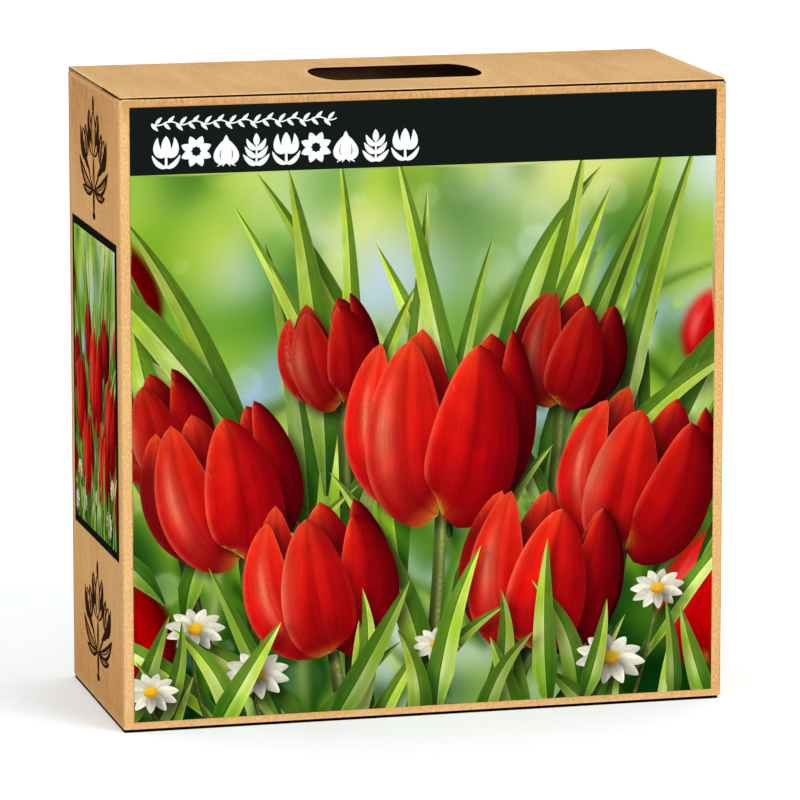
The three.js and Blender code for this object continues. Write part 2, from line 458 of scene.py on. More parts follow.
SLOT_LENGTH, SLOT_WIDTH, SLOT_END, SLOT_STEPS = 84.0, 51.0, 10.0, 16
BASE_INSET = 0.5  # the outer bottom lies this far inside the front and back walls' faces
BASE_LEFT_INSET, BASE_RIGHT_INSET = 0.15, 1.0  # and inside the side walls'
WALL_LIFT = 0.3  # the walls end this high above the bottom panels' upper side
FRONT_CRUSH, SIDE_CRUSH_AND_SHADE, DUST_CRUSH = 0.16, 0.55, 0.95  # how much the flutes show through there; on the sides it is also painted shade, for darker and warmer walls
FRONT_HIGH, FRONT_LOW = (297, 302), (12, 4)  # heights over which that grows to the front's edges
SIDE_HIGH, SIDE_LOW = (235, 300), (60, 0)  # and to the sides'; towards their top edge the growth is painted shade
DENT = 1.1  # half the width of the dents at the ends of the front wall's top edge

LID_LEFT, LID_RIGHT = 0.15 - HALF_WIDTH, HALF_WIDTH - LID_RIGHT_INSET
LID_FRONT, LID_UNDERSIDE = LID_LOW[1], LID_LOW[2]
DUST_FOLD_TOP = cad_box("dust_flap_left")[1][2]

WALLS = (
    Bend((-HALF_WIDTH + FOLD_RADIUS, HALF_DEPTH - BOARD - WALL_START_GAP), 180)
    .turn(FOLD_RADIUS).run(2 * HALF_DEPTH - BOARD - WALL_START_GAP - 2 * FOLD_RADIUS)
    .turn(FOLD_RADIUS).run(2 * (HALF_WIDTH - FOLD_RADIUS))
    .turn(FOLD_RADIUS).run(2 * (HALF_DEPTH - FOLD_RADIUS))
    .turn(FOLD_RADIUS).run(2 * HALF_WIDTH - FOLD_RADIUS - BACK_END_GAP)
)
(_, LEFT_FROM, LEFT_TO, FRONT_FROM, FRONT_TO, RIGHT_FROM, RIGHT_TO, BACK_FROM, BACK_TO) = WALLS.stops

HINGE = (
    Bend((HALF_DEPTH, TOP - CREASE_LIFT), 90)
    .run(CREASE_LIFT - CREASE_RADIUS).turn(CREASE_RADIUS).run(CREASE_REACH - CREASE_RADIUS)
)
DUST_CREASE = (
    Bend((HALF_WIDTH, DUST_FOLD_TOP - CREASE_LIFT), 90)
    .run(CREASE_LIFT - DUST_CREASE_RADIUS).turn(DUST_CREASE_RADIUS).run(CREASE_REACH - DUST_CREASE_RADIUS)
)

LEFT_FOLD, RIGHT_FOLD = (LEFT_TO + FRONT_FROM) / 2, (FRONT_TO + RIGHT_FROM) / 2  # the front wall's
HINGE_FOLD, DUST_FOLD = (sum(crease.stops[1:3]) / 2 for crease in (HINGE, DUST_CREASE))


def distance_to_turns(u):
    """How far places along the strip of walls are from its nearest upright fold."""
    turns = zip(WALLS.stops[:-1:2], WALLS.stops[1::2])
    return np.maximum([np.maximum(low - u, u - high) for low, high in turns], 0).min(0)


def back_blank(flat):
    """Blank coordinates of a panel that hangs on the back wall: -x across, and its own length along."""
    return flat + [BACK_FROM + HALF_WIDTH - FOLD_RADIUS, 0.0]


def side_blank(side):
    """The same for a flap on a side wall, drawn with side * y across."""
    middle = (RIGHT_FROM + RIGHT_TO) / 2 if side > 0 else LEFT_TO - (HALF_DEPTH - FOLD_RADIUS)
    return lambda flat: flat + [middle, DUST_FOLD_TOP - CREASE_LIFT]


def pressed(thickness, near, far, away):
    """The share of its thickness that the board keeps at a distance from a fold that is pressed thin."""
    return thickness / BOARD + (1 - thickness / BOARD) * step(near, far, away)


def below(point, normal, height, keeps=1.0):
    """Points at heights above the board's inner face, from points of its outer face."""
    return point - normal * ((BOARD - height) * keeps)[:, None]


def place_wall(flat, height):
    point, normal = WALLS.at(flat[:, 0])
    keeps = pressed(FOLD_THICKNESS, 0, FOLD_REACH, distance_to_turns(flat[:, 0]))
    return np.column_stack([below(point, normal, height, keeps), flat[:, 1]])


def front_top(u):
    """The front wall's top edge: up to the lid at the left, falling away, and dented at both ends."""
    from_left = np.clip(u - FRONT_FROM - HALF_WIDTH + FOLD_RADIUS, -HALF_WIDTH, HALF_WIDTH) + HALF_WIDTH
    top = CORNER_TOP + 0.5 + 0.5 * np.exp(-from_left / 7) - 0.15 * from_left / (2 * HALF_WIDTH)
    return top - 1.3 * hump(u, RIGHT_FOLD, DENT) - 0.6 * hump(u, LEFT_FOLD, DENT)


def side_top(u_high, u_low):
    """The stretch of top edge that a side's dust flap is folded from, with a slit at each end."""
    fold = DUST_FOLD_TOP - CREASE_LIFT
    return [(u_high + SLIT, SIDE_TOP), (u_high + SLIT, fold - 0.5), (u_high, fold),
            (u_low, fold), (u_low - SLIT, fold - 0.5), (u_low - SLIT, SIDE_TOP)]


def wall_wear(flat):
    """Rubbed along the upright folds, but for the right front one."""
    folds = np.array([LEFT_FOLD, (RIGHT_TO + BACK_FROM) / 2, LEFT_FROM / 2])
    return hump(np.abs(flat[:, :1] - folds).min(1), 0, 1.5) * 0.35


def wall_crush(flat):
    """Light on the front but for its margins, heavier on the sides, where it is painted shade that makes
    them darker and warmer. Heaviest on the right front fold, a painted line of shade along it.
    """
    u, up = flat.T
    on_front = step(FRONT_FROM - 0.6, FRONT_FROM, u) * step(FRONT_TO + 0.6, FRONT_TO, u)
    front = FRONT_CRUSH + np.maximum(1.25 * step(*FRONT_HIGH, up), 0.34 * step(*FRONT_LOW, up))
    front += 0.1 * step(FRONT_TO - 12, FRONT_TO, u)
    on_left = step(LEFT_TO + 0.6, LEFT_TO - 0.4, u)
    on_right = step(RIGHT_FROM - 0.6, RIGHT_FROM + 0.4, u) * step(RIGHT_TO + 0.6, RIGHT_TO, u)
    from_fold = np.abs(u - LEFT_TO)
    # Painted shade: darker towards the sides' top and back.
    above = 0.75 * step(*SIDE_HIGH, up) * np.minimum(1, 0.3 + from_fold / 100)
    side = SIDE_CRUSH_AND_SHADE + np.maximum(above, 0.45 * step(*SIDE_LOW, up)) + 0.2 * step(22, 8, from_fold)
    # Painted shade: a dark line along the right front fold.
    painted_fold_shade = 1.3 * step(FRONT_TO, FRONT_TO + 0.3, u) * step(RIGHT_FROM, RIGHT_FROM - 0.3, u)
    return np.maximum(on_front * front + np.maximum(on_left, on_right) * side, painted_fold_shade)


def walls(materials):
    """The strip of four walls, from the left wall's back fold round to the back wall's cut edge."""
    low, back_top = WALL_LOW[2] + WALL_LIFT, TOP - CREASE_LIFT
    (_, flap_front, _), (_, flap_back, _) = cad_box("dust_flap_left")
    front_reach, back_reach = HALF_DEPTH - FOLD_RADIUS + flap_front, HALF_DEPTH - FOLD_RADIUS - flap_back
    front = [(u, front_top(u)) for u in [
        *even(RIGHT_FROM + 1, FRONT_TO - 3, 0.5), *even(FRONT_TO - 6, FRONT_FROM + 6, 8),
        *even(FRONT_FROM + 3, LEFT_TO - 1, 0.5)]]
    right = side_top(RIGHT_TO - back_reach, RIGHT_FROM + front_reach)
    left = side_top(LEFT_TO - front_reach, LEFT_FROM + back_reach)
    back_corner = [(BACK_FROM + SLIT, back_top), (BACK_FROM + SLIT, back_top - 1),
                   (BACK_FROM, back_top - 0.5), (BACK_FROM - 0.2, SIDE_TOP)]
    foot_and_end = [(0.0, SIDE_TOP), (0.0, low), (BACK_TO, low), (BACK_TO, back_top)]
    cuts = [[*left[-2:], *foot_and_end], [*back_corner, *right[:3]], [*right[-3:], *front, *left[:3]]]
    return board(
        "carton_walls", "root", [[*foot_and_end[1:], *back_corner, *right, *front, *left, foot_and_end[0]]],
        place_wall, materials, across=WALLS.columns(GRID), along=even(low, back_top, GRID)[1:-1],
        lines=[((u, low - 1), (u, TOP)) for u in WALLS.bends()[1:]], cuts=cuts, worn=wall_wear,
        crush=wall_crush, replaces=["carton_sleeve"])


def place_hinge(flat, height):
    point, normal = HINGE.at(flat[:, 1])
    keeps = pressed(HINGE_THICKNESS, *HINGE_REACH, np.abs(flat[:, 1] - HINGE_FOLD))
    return np.column_stack([-flat[:, 0], below(point, normal, height, keeps)])


def hinge_crease(materials):
    """The fold between the back wall and the lid, as a piece of its own."""
    side, end = -LID_LEFT, HINGE.stops[-1]
    foot = HALF_WIDTH - FOLD_RADIUS - SLIT
    wide = HINGE.stops[1] + 1.2
    piece = board(
        "lid_hinge_crease", None,
        [[(-foot, 0), (foot, 0), (side, wide), (side, end), (-LID_RIGHT, end), (-LID_RIGHT, wide)]],
        place_hinge, materials,
        blank=lambda flat: back_blank(flat + [0, TOP - CREASE_LIFT]),
        across=even(-foot, foot, GRID), along=HINGE.columns(CREASE_SPACING, CREASE_STEPS),
        lines=[((-side - 1, v), (side + 1, v)) for v in HINGE.bends(CREASE_STEPS)],
        cuts=[[(-LID_RIGHT, end), (-LID_RIGHT, wide), (-foot, 0)], [(foot, 0), (side, wide), (side, end)]],
        worn=lambda flat: hump(flat[:, 1], HINGE_FOLD, 1.3) * 0.8)
    # From the lid to the root, so that a half turn goes round the outside.
    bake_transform(piece)
    return piece


def slot_outline():
    """The hand slot, drawn clockwise so that the board is on its left."""
    straight = SLOT_LENGTH / 2 - SLOT_END
    outline = []
    for centre, turn in ((straight, 0), (-straight, 180)):
        for angle in np.radians(np.linspace(90, -90, SLOT_STEPS + 1) - turn):
            outline.append((centre + SLOT_END * math.cos(angle), SLOT_WIDTH / 2 * math.sin(angle)))
    return outline


def lid(materials):
    """Drawn with -x across and -y along, as it continues from the back wall."""
    left, right, end = -LID_RIGHT, -LID_LEFT, HALF_DEPTH - CREASE_REACH
    slot = slot_outline()

    def place(flat, height):
        return np.column_stack([-flat, LID_UNDERSIDE + height])

    def dark(flat):
        """Round the slot, and the left edge's front third, the cut edges are painted as dark as the hollow's
        shade: a black slot edge and a painted shadow line along the left seam.
        """
        round_slot = (np.abs(flat) < (SLOT_LENGTH / 2 + 1, SLOT_WIDTH / 2 + 1)).all(1)
        return round_slot | (flat > (right - 0.1, LEFT_SEAM_SHADE)).all(1)

    return board(
        "lid_board", "lid", [rectangle(left, -end, right, end), slot], place, materials,
        blank=lambda flat: back_blank(flat + [0, TOP + HALF_DEPTH]),
        crush=lambda flat: 0.3 * step(-5, -60, flat[:, 1]),
        cuts=[[(left, end), (left, -end)], [(right, -end), (right, end)], [*slot, slot[0]]],
        dark=dark, replaces=["lid_panel"])


def lid_front_fold(materials):
    """The pressed fold along the lid's front edge, and the first stretch of the tuck flap below it."""
    sheet = Sheet()
    _, pivot_y, pivot_z = np.array(JOINTS["tuck_fold"]["pos_m"]) / MM
    pivot = np.array([pivot_y, pivot_z])
    down = np.array([math.sin(TUCK_LEAN), -math.cos(TUCK_LEAN)])
    inward = np.array([math.cos(TUCK_LEAN), math.sin(TUCK_LEAN)])
    to_flap = [down * TUCK_START / 2, down * TUCK_START]
    start = -(HALF_DEPTH - CREASE_REACH)
    bead_y, bead_low = LID_FRONT + BEAD_RADIUS, TOP - BEAD_HEIGHT
    outer = [(start, TOP), (start - 2, TOP), *corner((bead_y, TOP - BEAD_RADIUS), BEAD_RADIUS, 90, 180, 4),
             *corner((bead_y, bead_low + BEAD_RADIUS), BEAD_RADIUS, 180, 270, 4),
             (pivot_y - 0.25, bead_low + 0.05), (pivot_y - 0.25, LID_UNDERSIDE - 0.05),
             (pivot_y - 0.03, pivot_z + 0.3), pivot, *[pivot + way for way in to_flap]]
    recess = range(10, 15)  # the runs between the bead and the pivot, painted as dark as the hollow's shade
    elbow = pivot + inward * BOARD
    inner = [(start, LID_UNDERSIDE), (start - 1.3, LID_UNDERSIDE), (elbow[0] + 0.1, LID_UNDERSIDE - 0.03),
             elbow + down * 0.4, *[elbow + way for way in to_flap]]
    section = np.array(outer + inner[::-1], float)
    walked = walk(section)
    # Paler on the bead: rubbed board, and a painted highlight along the rounded fold.
    worn = np.array([0.5 if z > bead_low and y < start - 3 else 0.0 for y, z in section])
    ends = even(0, 0.9, 0.18)
    places = [*(LID_LEFT + ends), *even(LID_LEFT + 4, LID_RIGHT - 4, GRID), *(LID_RIGHT - ends[::-1])]
    n = len(section)
    for x in places:
        past = max(0.0, LID_CORNER - min(x - LID_LEFT, LID_RIGHT - x))
        rounding = LID_CORNER - math.sqrt(LID_CORNER ** 2 - past ** 2)
        y = np.maximum(section[:, 0], LID_FRONT + rounding)
        points = np.column_stack([np.full(n, x), y, section[:, 1]])
        blank = back_blank(np.column_stack([np.full(n, -x), TOP + 2 * HALF_DEPTH - CREASE_REACH + walked]))
        sheet.add(points, blank, worn, [], [])
    last = (len(places) - 1) * n
    sheet.faces = [list(range(n)), list(range(last, last + n)), *ring_faces(len(places), n)]
    around = [HOLLOW_SHADE if k in recess else OUTSIDE if k < len(outer) - 1 else INSIDE for k in range(n)]
    sheet.looks = [HOLLOW_SHADE, CUT, *around * (len(places) - 1)]
    piece = sheet.make("lid_front_fold", None, "kraft_board", materials)
    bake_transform(piece)
    return piece


def tuck_flap(materials):
    """Drawn with -x across, and along from its pivot down."""
    _, pivot_y, pivot_z = np.array(JOINTS["tuck_fold"]["pos_m"]) / MM
    length = (pivot_z - TUCK_LOW[2]) / math.cos(TUCK_LEAN)
    outline = tongue(-TUCK_HIGH[0], TUCK_START, TUCK_HIGH[0], length, TUCK_CORNER)

    def place(flat, height):
        inward = BOARD - height
        y = pivot_y + flat[:, 1] * math.sin(TUCK_LEAN) + inward * math.cos(TUCK_LEAN)
        z = pivot_z - flat[:, 1] * math.cos(TUCK_LEAN) + inward * math.sin(TUCK_LEAN)
        return np.column_stack([-flat[:, 0], y, z])

    return board(
        "tuck_flap_board", "tuck", [outline], place, materials,
        blank=lambda flat: back_blank(flat + [0, TOP + 2 * HALF_DEPTH]),
        cuts=[[*outline[1:], outline[0]]], replaces=["tuck_flap"])


def dust_flap(name, side, materials):
    """A flap folded in under the lid from a side wall, and the crease that it turns on."""
    low, high = cad_box(name)
    body = name.replace("_flap", "")
    fold = HALF_WIDTH - CREASE_REACH
    tip = min(abs(low[0]), abs(high[0]))
    crease_end = DUST_CREASE.stops[-1]
    near, far = sorted((side * low[1], side * high[1]))

    def place_crease(flat, height):
        point = below(*DUST_CREASE.at(flat[:, 1]), height)
        return np.column_stack([side * point[:, 0], side * flat[:, 0], point[:, 1]])

    def place(flat, height):
        x = side * (fold + crease_end - flat[:, 1])
        return np.column_stack([x, side * flat[:, 0], low[2] + height])

    crease = board(
        name + "_crease", None, [rectangle(near, 0, far, crease_end)], place_crease, materials,
        blank=side_blank(side), along=DUST_CREASE.columns(CREASE_SPACING, CREASE_STEPS),
        lines=[((near - 1, v), (far + 1, v)) for v in DUST_CREASE.bends(CREASE_STEPS)],
        cuts=[[(near, crease_end), (near, 0)], [(far, 0), (far, crease_end)]],
        worn=lambda flat: hump(flat[:, 1], DUST_FOLD, 1.3) * 0.4,
        crush=lambda flat: np.full(len(flat), DUST_CRUSH))
    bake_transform(crease)
    outline = tongue(near, crease_end, far, crease_end + fold - tip, DUST_CORNER, DUST_TAPER)
    flap = board(
        name + "_board", body, [outline], place, materials, blank=side_blank(side),
        cuts=[[*outline[1:], outline[0]]], replaces=[name])
    return [crease, flap]


def flat_panel(node, outline, materials, level, shift, dark):
    """A glued panel or flap that lies level with its outside down, drawn with -y along."""
    def place(flat, height):
        return np.column_stack([flat[:, 0], -flat[:, 1], level + BOARD - height])

    return board(node + "_board", "root", [outline], place, materials, blank=lambda flat: flat + shift,
                 dark=dark, replaces=[node])


def bottom(materials, shade_edged):
    """The four bottom panels; the outer one's edge, which the carton stands on, is painted near black all
    round, a painted contact shadow under the walls.
    """
    left, right, depth = BASE_LEFT_INSET - HALF_WIDTH, HALF_WIDTH - BASE_RIGHT_INSET, HALF_DEPTH - BASE_INSET
    panels = [("outer_panel", (left, -depth), (right, depth), 0.0, 1.5, shade_edged)]
    for part, radius in (("inner_panel", 2), ("dust_flap_left", 3), ("dust_flap_right", 3)):
        low, high = cad_box("bottom_" + part)
        panels.append((part, (low[0], -high[1]), (high[0], -low[1]), low[2], radius, materials))
    for i, (part, low, high, level, radius, looks) in enumerate(panels):
        dark = (lambda flat: np.ones(len(flat), bool)) if looks is shade_edged else None
        shift = [0.0, -400.0 - 170.0 * i]
        flat_panel("bottom_" + part, rounded(*low, *high, radius), looks, level, shift, dark)


def glue_flap(materials):
    """Folded in from the left wall and glued on the inside of the back wall; drawn with -x across."""
    low, high = cad_box("glue_flap")
    fold, free = -low[0], -high[0]
    outline = [(free, low[2] + 14), (fold, low[2] + 2), (fold, high[2] - 2), (free, high[2] - 14)]

    def place(flat, height):
        return np.column_stack([-flat[:, 0], low[1] + height, flat[:, 1]])

    return board("glue_flap_board", "root", [outline], place, materials, replaces=["glue_flap"])


# ---- the printed picture: tulips in a garden, in millimetres from its lower left corner ----

PICTURE_WIDTH, PICTURE_HEIGHT = 290.0, 265.5


def bezier(control, steps):
    """Points along the Bezier curve with these control points."""
    t = np.linspace(0, 1, steps + 1)[:, None]
    level = [np.asarray(point, float)[None] for point in control]
    while len(level) > 1:
        level = [a * (1 - t) + b * t for a, b in zip(level, level[1:])]
    return level[0]


class Ribbon:
    """A leaf, petal or stem of the picture: a tapered band along a curved line."""

    STEPS = 22

    def __init__(self, control, width, profile, paint=None, **looks):
        self.line = bezier(control, self.STEPS)
        self.half = width / 2 * profile(np.linspace(0, 1, self.STEPS + 1))
        self.across = leftward(self.line, closed=False)
        self.length = walk(self.line)[-1]
        self.paint, self.looks = paint, looks
        reach = self.half.max()
        self.low, self.high = self.line.min(0) - reach, self.line.max(0) + reach

    def colours(self, s, t, side):
        """Its colours at shares s along and t across it, and how strong its veins are.

        side says on which side of its line a face lies, -1 or 1.
        """
        return self.paint(s, t, side, **self.looks)

    def outline(self):
        left = self.line + self.across * self.half[:, None]
        right = self.line - self.across * self.half[:, None]
        return np.concatenate([right, left[::-1]])

    def locate(self, points):
        """Share along the line, share across (1 at the left edge), and distance outside the edge."""
        a, b = self.line[:-1], self.line[1:]
        ab = b - a
        ap = points[:, None] - a
        u = np.clip((ap * ab).sum(-1) / (ab * ab).sum(-1), 0, 1)
        off = ap - ab * u[..., None]
        far = np.hypot(off[..., 0], off[..., 1])
        best = far.argmin(1)
        rows = np.arange(len(points))
        along = (best + u[rows, best]) / self.STEPS
        half = np.interp(along, np.linspace(0, 1, self.STEPS + 1), self.half)
        across = ab[best, 0] * off[rows, best, 1] - ab[best, 1] * off[rows, best, 0]
        across /= np.hypot(ab[best, 0], ab[best, 1])
        return along, across / np.maximum(half, 0.05), far[rows, best] - half


# ---- what the ribbons are painted with ----

DEEP_GREEN, LEAF_GREEN, LIME, YELLOW_LIME = (24, 62, 14), (84, 140, 20), (152, 196, 34), (198, 222, 58)
PALE_LIGHT = (238, 246, 178)
CRIMSON, DEEP_RED, RED, WARM_RED = (66, 0, 8), (150, 4, 12), (212, 14, 14), (236, 36, 20)
ORANGE_LIGHT, PINK_LIGHT = (255, 128, 88), (255, 196, 170)
CREAM, BUTTER = (250, 242, 214), (240, 186, 40)


CLOUD_SIZE = 14


def cloud(points):
    """A soft random field about zero, with patches about CLOUD_SIZE across."""
    rng = random.Random(31)
    field = np.zeros(len(points))
    for _ in range(14):
        angle, pace = rng.uniform(0, math.pi), rng.uniform(0.6, 2.2) * math.pi / CLOUD_SIZE
        ahead = np.array([math.cos(angle), math.sin(angle)]) * pace
        field += np.sin(points @ ahead + rng.uniform(0, 6.3) + 1.3 * np.sin(points @ ahead[::-1] * 0.7))
    return field / 3.2


def paint_blade(s, t, side, light, gloss, tone, depth):
    """A leaf, lit on one side of its midrib and glossy at two places along it."""
    lit = side * light > 0
    glossy = (hump(s, gloss, 0.15) + 0.5 * hump(s, gloss + 0.38, 0.1)) * (1 - 0.55 * np.abs(t))
    colour = layered(ramp(s, [(0, DEEP_GREEN), (0.2, LEAF_GREEN), (0.55, LIME), (1, YELLOW_LIME)]), [
        (DEEP_GREEN, np.where(lit, 0.0, 0.42) + 0.16 * np.abs(t) * ~lit),
        (YELLOW_LIME, np.where(lit, 0.34, 0.0)),
        (PALE_LIGHT, glossy * np.where(lit, 0.78, 0.14)),
        (np.where(lit[:, None], PALE_LIGHT, DEEP_GREEN), hump(t, 0, 0.09) * 0.3),
        (PALE_LIGHT, step(0.82, 1, np.abs(t)) * np.where(lit, 0.34, 0.1)),
    ])
    return mix(colour * tone, DEEP_GREEN, depth), 0.4


def paint_stem(s, t, side, tone):
    colour = ramp(s, [(0, (58, 60, 28)), (0.6, (88, 102, 40)), (1, (126, 156, 58))])
    round_light = 1 - np.clip(np.abs(t + 0.35), 0, 1)
    return mix(colour * 0.66, (206, 216, 130), round_light ** 2 * 0.6) * tone, 0.15


def paint_petal(s, t, side, facing, tone, phase, inside):
    """A petal seen from outside, or from inside where it stands at the back of its cup."""
    facing = facing + 0.6 * t
    folds = np.sin(9 * t + 2.4 * s + phase) * (1 - np.abs(t)) * step(0.1, 0.4, s)
    rim = step(0.84, 1, np.abs(t))
    along = [(0, (172, 160, 52)), (0.05, (178, 84, 24)), (0.15, (146, 8, 12)), (0.45, RED), (0.82, WARM_RED),
             (1, (244, 72, 34))]
    colour = layered(ramp(s, along), [
        (DEEP_RED, step(0.15, -0.75, facing) * 0.9),
        (CRIMSON, step(-0.45, -1.3, facing) * 0.8),
        (ORANGE_LIGHT, hump(facing, 0.62, 0.2) * hump(s, 0.56, 0.25) * 0.62),
        (PINK_LIGHT, hump(facing, 0.66, 0.07) * hump(s, 0.6, 0.15) * 0.32),
        (DEEP_RED, 0.45 * (hump(t, 0, 0.06) * step(0.96, 0.5, s))),
        (CRIMSON, 0.2 * np.clip(folds, 0, 1)),
        (ORANGE_LIGHT, 0.13 * np.clip(-folds, 0, 1) * step(-0.6, 0.4, facing)),
        (ORANGE_LIGHT, rim * 0.5 * step(0.1, 0.3, s) * step(-0.9, 0.3, facing)),
        (CRIMSON, inside * step(1.02, 0.7, s)),
    ])
    return colour * tone, 0.34


def paint_ray(s, t, side, tone):
    """A petal of a small white flower."""
    colour = ramp(s, [(0, (214, 206, 120)), (0.25, CREAM), (1, (255, 252, 240))])
    return mix(colour, (176, 178, 150), 0.45 * step(-0.2, -1, t) + 0.3 * hump(t, 0, 0.12)) * tone, 0.12


def paint_eye(s, t, side, tone):
    """Its yellow middle."""
    colour = np.tile(np.array(BUTTER, float), (len(s), 1))
    return mix(colour, (176, 104, 14), 0.7 * step(0.2, -1, t) + 0.2 * step(0.6, 1, s)) * tone, 0.5


def blade_profile(s):
    return np.minimum(1, 0.12 + 3.2 * s) * (1 - s ** 2.2) ** 0.95


def petal_profile(s):
    return (np.sin(np.pi * np.clip(s, 0, 1) ** 0.86)) ** 0.66 * (1 - 0.14 * s)


def round_profile(s):
    return np.sqrt(np.clip(1 - (2 * s - 1) ** 2, 0, 1))


def stem_profile(s):
    return 1 - 0.25 * s


# ---- the composition ----

def leant(control, x, z, size, lean):
    """Control points from a drawing of size 1 that stands upright, set leaning on a foot at x, z."""
    cos, sin = math.cos(lean), math.sin(lean)
    return [(x + size * (a * cos + b * sin), z + size * (b * cos - a * sin)) for a, b in control]


def back_first(pairs):
    """The ribbons of (nearness, ribbon) pairs, far ones first."""
    return [ribbon for _, ribbon in sorted(pairs, key=lambda pair: pair[0])]


def blade(base, lean, length, width, bend, rng, depth):
    """A leaf from its base, leaning from upright and drooping over as it bends."""
    line = [np.array(base, float)]
    for heading, share in ((lean, 0.34), (lean + bend, 0.33), (lean + 1.9 * bend, 0.33)):
        line.append(line[-1] + share * length * np.array([math.sin(heading), math.cos(heading)]))
    light = 1 if lean + bend < 0.1 else -1
    gloss, tone = rng.uniform(0.28, 0.6), rng.uniform(0.84, 1.08)
    return Ribbon(line, width, blade_profile, paint_blade, light=light, gloss=gloss, tone=tone, depth=depth)


def bloom(x, z, height, lean, tone, turn=0.3, spread=0.0):
    """A tulip from the foot of its cup: six petals round it, those at the back first."""
    petals = []
    for i in range(6):
        around = turn + i * math.pi / 3
        out, near, outer = math.sin(around), math.cos(around), i % 2 == 0
        belly = (0.40 if outer else 0.36) + 0.05 * spread
        rim = 0.27 + 0.2 * spread + (0.03 if outer else 0.0)
        tip = (0.96 if outer else 1.0) - 0.05 * near + 0.03 * math.sin(5 * around)
        curl = 0.06 * spread * (1 if out > 0 else -1)
        control = [(0.02 * out, 0.06 - 0.07 * near), (belly * out * 1.16, 0.12 - 0.04 * near),
                   (belly * out * 1.12, 0.66), (rim * out + curl, tip)]
        width = height * (0.27 + 0.27 * abs(near) + (0.03 if outer else 0.0))
        petal = Ribbon(
            leant(control, x, z, height, lean), width, petal_profile, paint_petal,
            facing=-0.62 * out - 0.06, tone=tone * (0.97 if outer else 0.92), phase=2.1 * i + turn,
            inside=0.0 if near > -0.25 else 0.62)
        petals.append((near + (0.35 if outer else 0.0) * (1 if near > 0 else -1), petal))
    return back_first(petals)


def daisy(x, z, size, tilt):
    """A small white flower that looks a little up: its rays, far ones first, then its eye."""
    centre = np.array([x, z])
    rays = []
    for i in range(11):
        angle = i * 2 * math.pi / 11 + tilt * 3
        reach = np.array([math.cos(angle + tilt * 0.2), 0.72 * math.sin(angle)])
        line = [centre + 0.14 * size * reach, centre + 0.56 * size * reach + [0, 0.06 * size],
                centre + size * reach]
        ray = Ribbon(line, 0.4 * size, petal_profile, paint_ray, tone=0.9 + 0.1 * (i % 2))
        rays.append((-math.sin(angle), ray))
    line = [(x - 0.25 * size, z + 0.03 * size), (x, z + 0.05 * size), (x + 0.25 * size, z + 0.03 * size)]
    return [*back_first(rays), Ribbon(line, 0.4 * size, round_profile, paint_eye, tone=1.0)]


BLOOMS = [  # foot of the cup, height of the cup, lean in degrees, tone, turn, spread
    (103, 152, 50, -12, 0.84, 0.5, 0.1),
    (212, 146, 54, 12, 0.8, 0.15, 0.2),
    (20, 120, 50, -16, 0.86, 0.9, 0.1),
    (54, 78, 74, -14, 1.0, 0.25, 0.25),
    (244, 72, 76, 14, 0.98, 0.75, 0.2),
    (152, 94, 90, 3, 1.03, 0.42, 0.3),
    (98, 30, 72, -8, 1.02, 0.9, 0.15),
    (198, 26, 76, 9, 1.05, 0.1, 0.35),
]
DAISIES = [  # middle, size, tilt
    (30, 44, 15, 0.2), (262, 52, 14, -0.3), (150, 30, 12, 0.5), (60, 20, 17, 0.1), (238, 18, 18, 0.7),
    (8, 14, 14, 0.4), (281, 24, 13, 0.2),
]
BACK_LEAVES, FRONT_LEAVES = 40, 26
FAR_BLOOM_TONE = 0.9  # blooms that are darker than this stand further back


def composition():
    """The picture's ribbons, those at the back first."""
    rng = random.Random(11)
    ribbons = []
    for i in range(BACK_LEAVES):  # up to the top of the picture, taken in a mixed order
        share = (i * 17 % BACK_LEAVES) / (BACK_LEAVES - 1)
        foot = (14 + 262 * share + rng.uniform(-10, 10), rng.uniform(50, 128))
        ribbons.append(blade(
            foot, (share - 0.5) * 1.05 + rng.uniform(-0.3, 0.3), rng.uniform(108, 188), rng.uniform(10, 19),
            (share - 0.5) * 0.6 + rng.uniform(-0.42, 0.42), rng,
            rng.uniform(0, 0.5) * (1 - i / (BACK_LEAVES + 2))))
    for x, z, height, lean, tone, turn, spread in BLOOMS:
        tilt = math.radians(lean)
        foot = (x * 0.72 + 145 * 0.28 - 6, -6)
        stem = [foot, (x - 14 * math.sin(tilt), z * 0.5), (x, z + 3)]
        ribbons.append(Ribbon(stem, 7.5, stem_profile, paint_stem, tone=tone))
        for side in (-1, 1):
            ribbons.append(blade(
                (x + 5 * side, z - rng.uniform(58, 96)), side * rng.uniform(0.12, 0.5) + tilt,
                height * rng.uniform(1.2, 1.75), rng.uniform(11, 18), side * rng.uniform(0.1, 0.5), rng,
                0.16 if tone < FAR_BLOOM_TONE else 0.0))
        ribbons.extend(bloom(x, z, height, tilt, tone, turn, spread))
    for i in range(FRONT_LEAVES):  # from below the picture, with a daisy after every fourth
        share = (i * 11 % FRONT_LEAVES) / (FRONT_LEAVES - 1)
        foot = (-8 + 306 * share + rng.uniform(-8, 8), rng.uniform(-26, -4))
        ribbons.append(blade(
            foot, (share - 0.5) * -0.4 + rng.uniform(-0.6, 0.6), rng.uniform(44, 92), rng.uniform(8, 15),
            rng.uniform(-0.5, 0.5), rng, rng.uniform(0, 0.3)))
        if i % 4 == 3 and i // 4 < len(DAISIES):
            x, z, size, tilt = DAISIES[i // 4]
            stem = [(x * 0.9 + 12, -8), (x - 4, z * 0.4), (x, z)]
            ribbons.append(Ribbon(stem, 2.4, stem_profile, paint_stem, tone=1.0))
            ribbons.extend(daisy(x, z, size, tilt))
    return ribbons


# ---- background ----

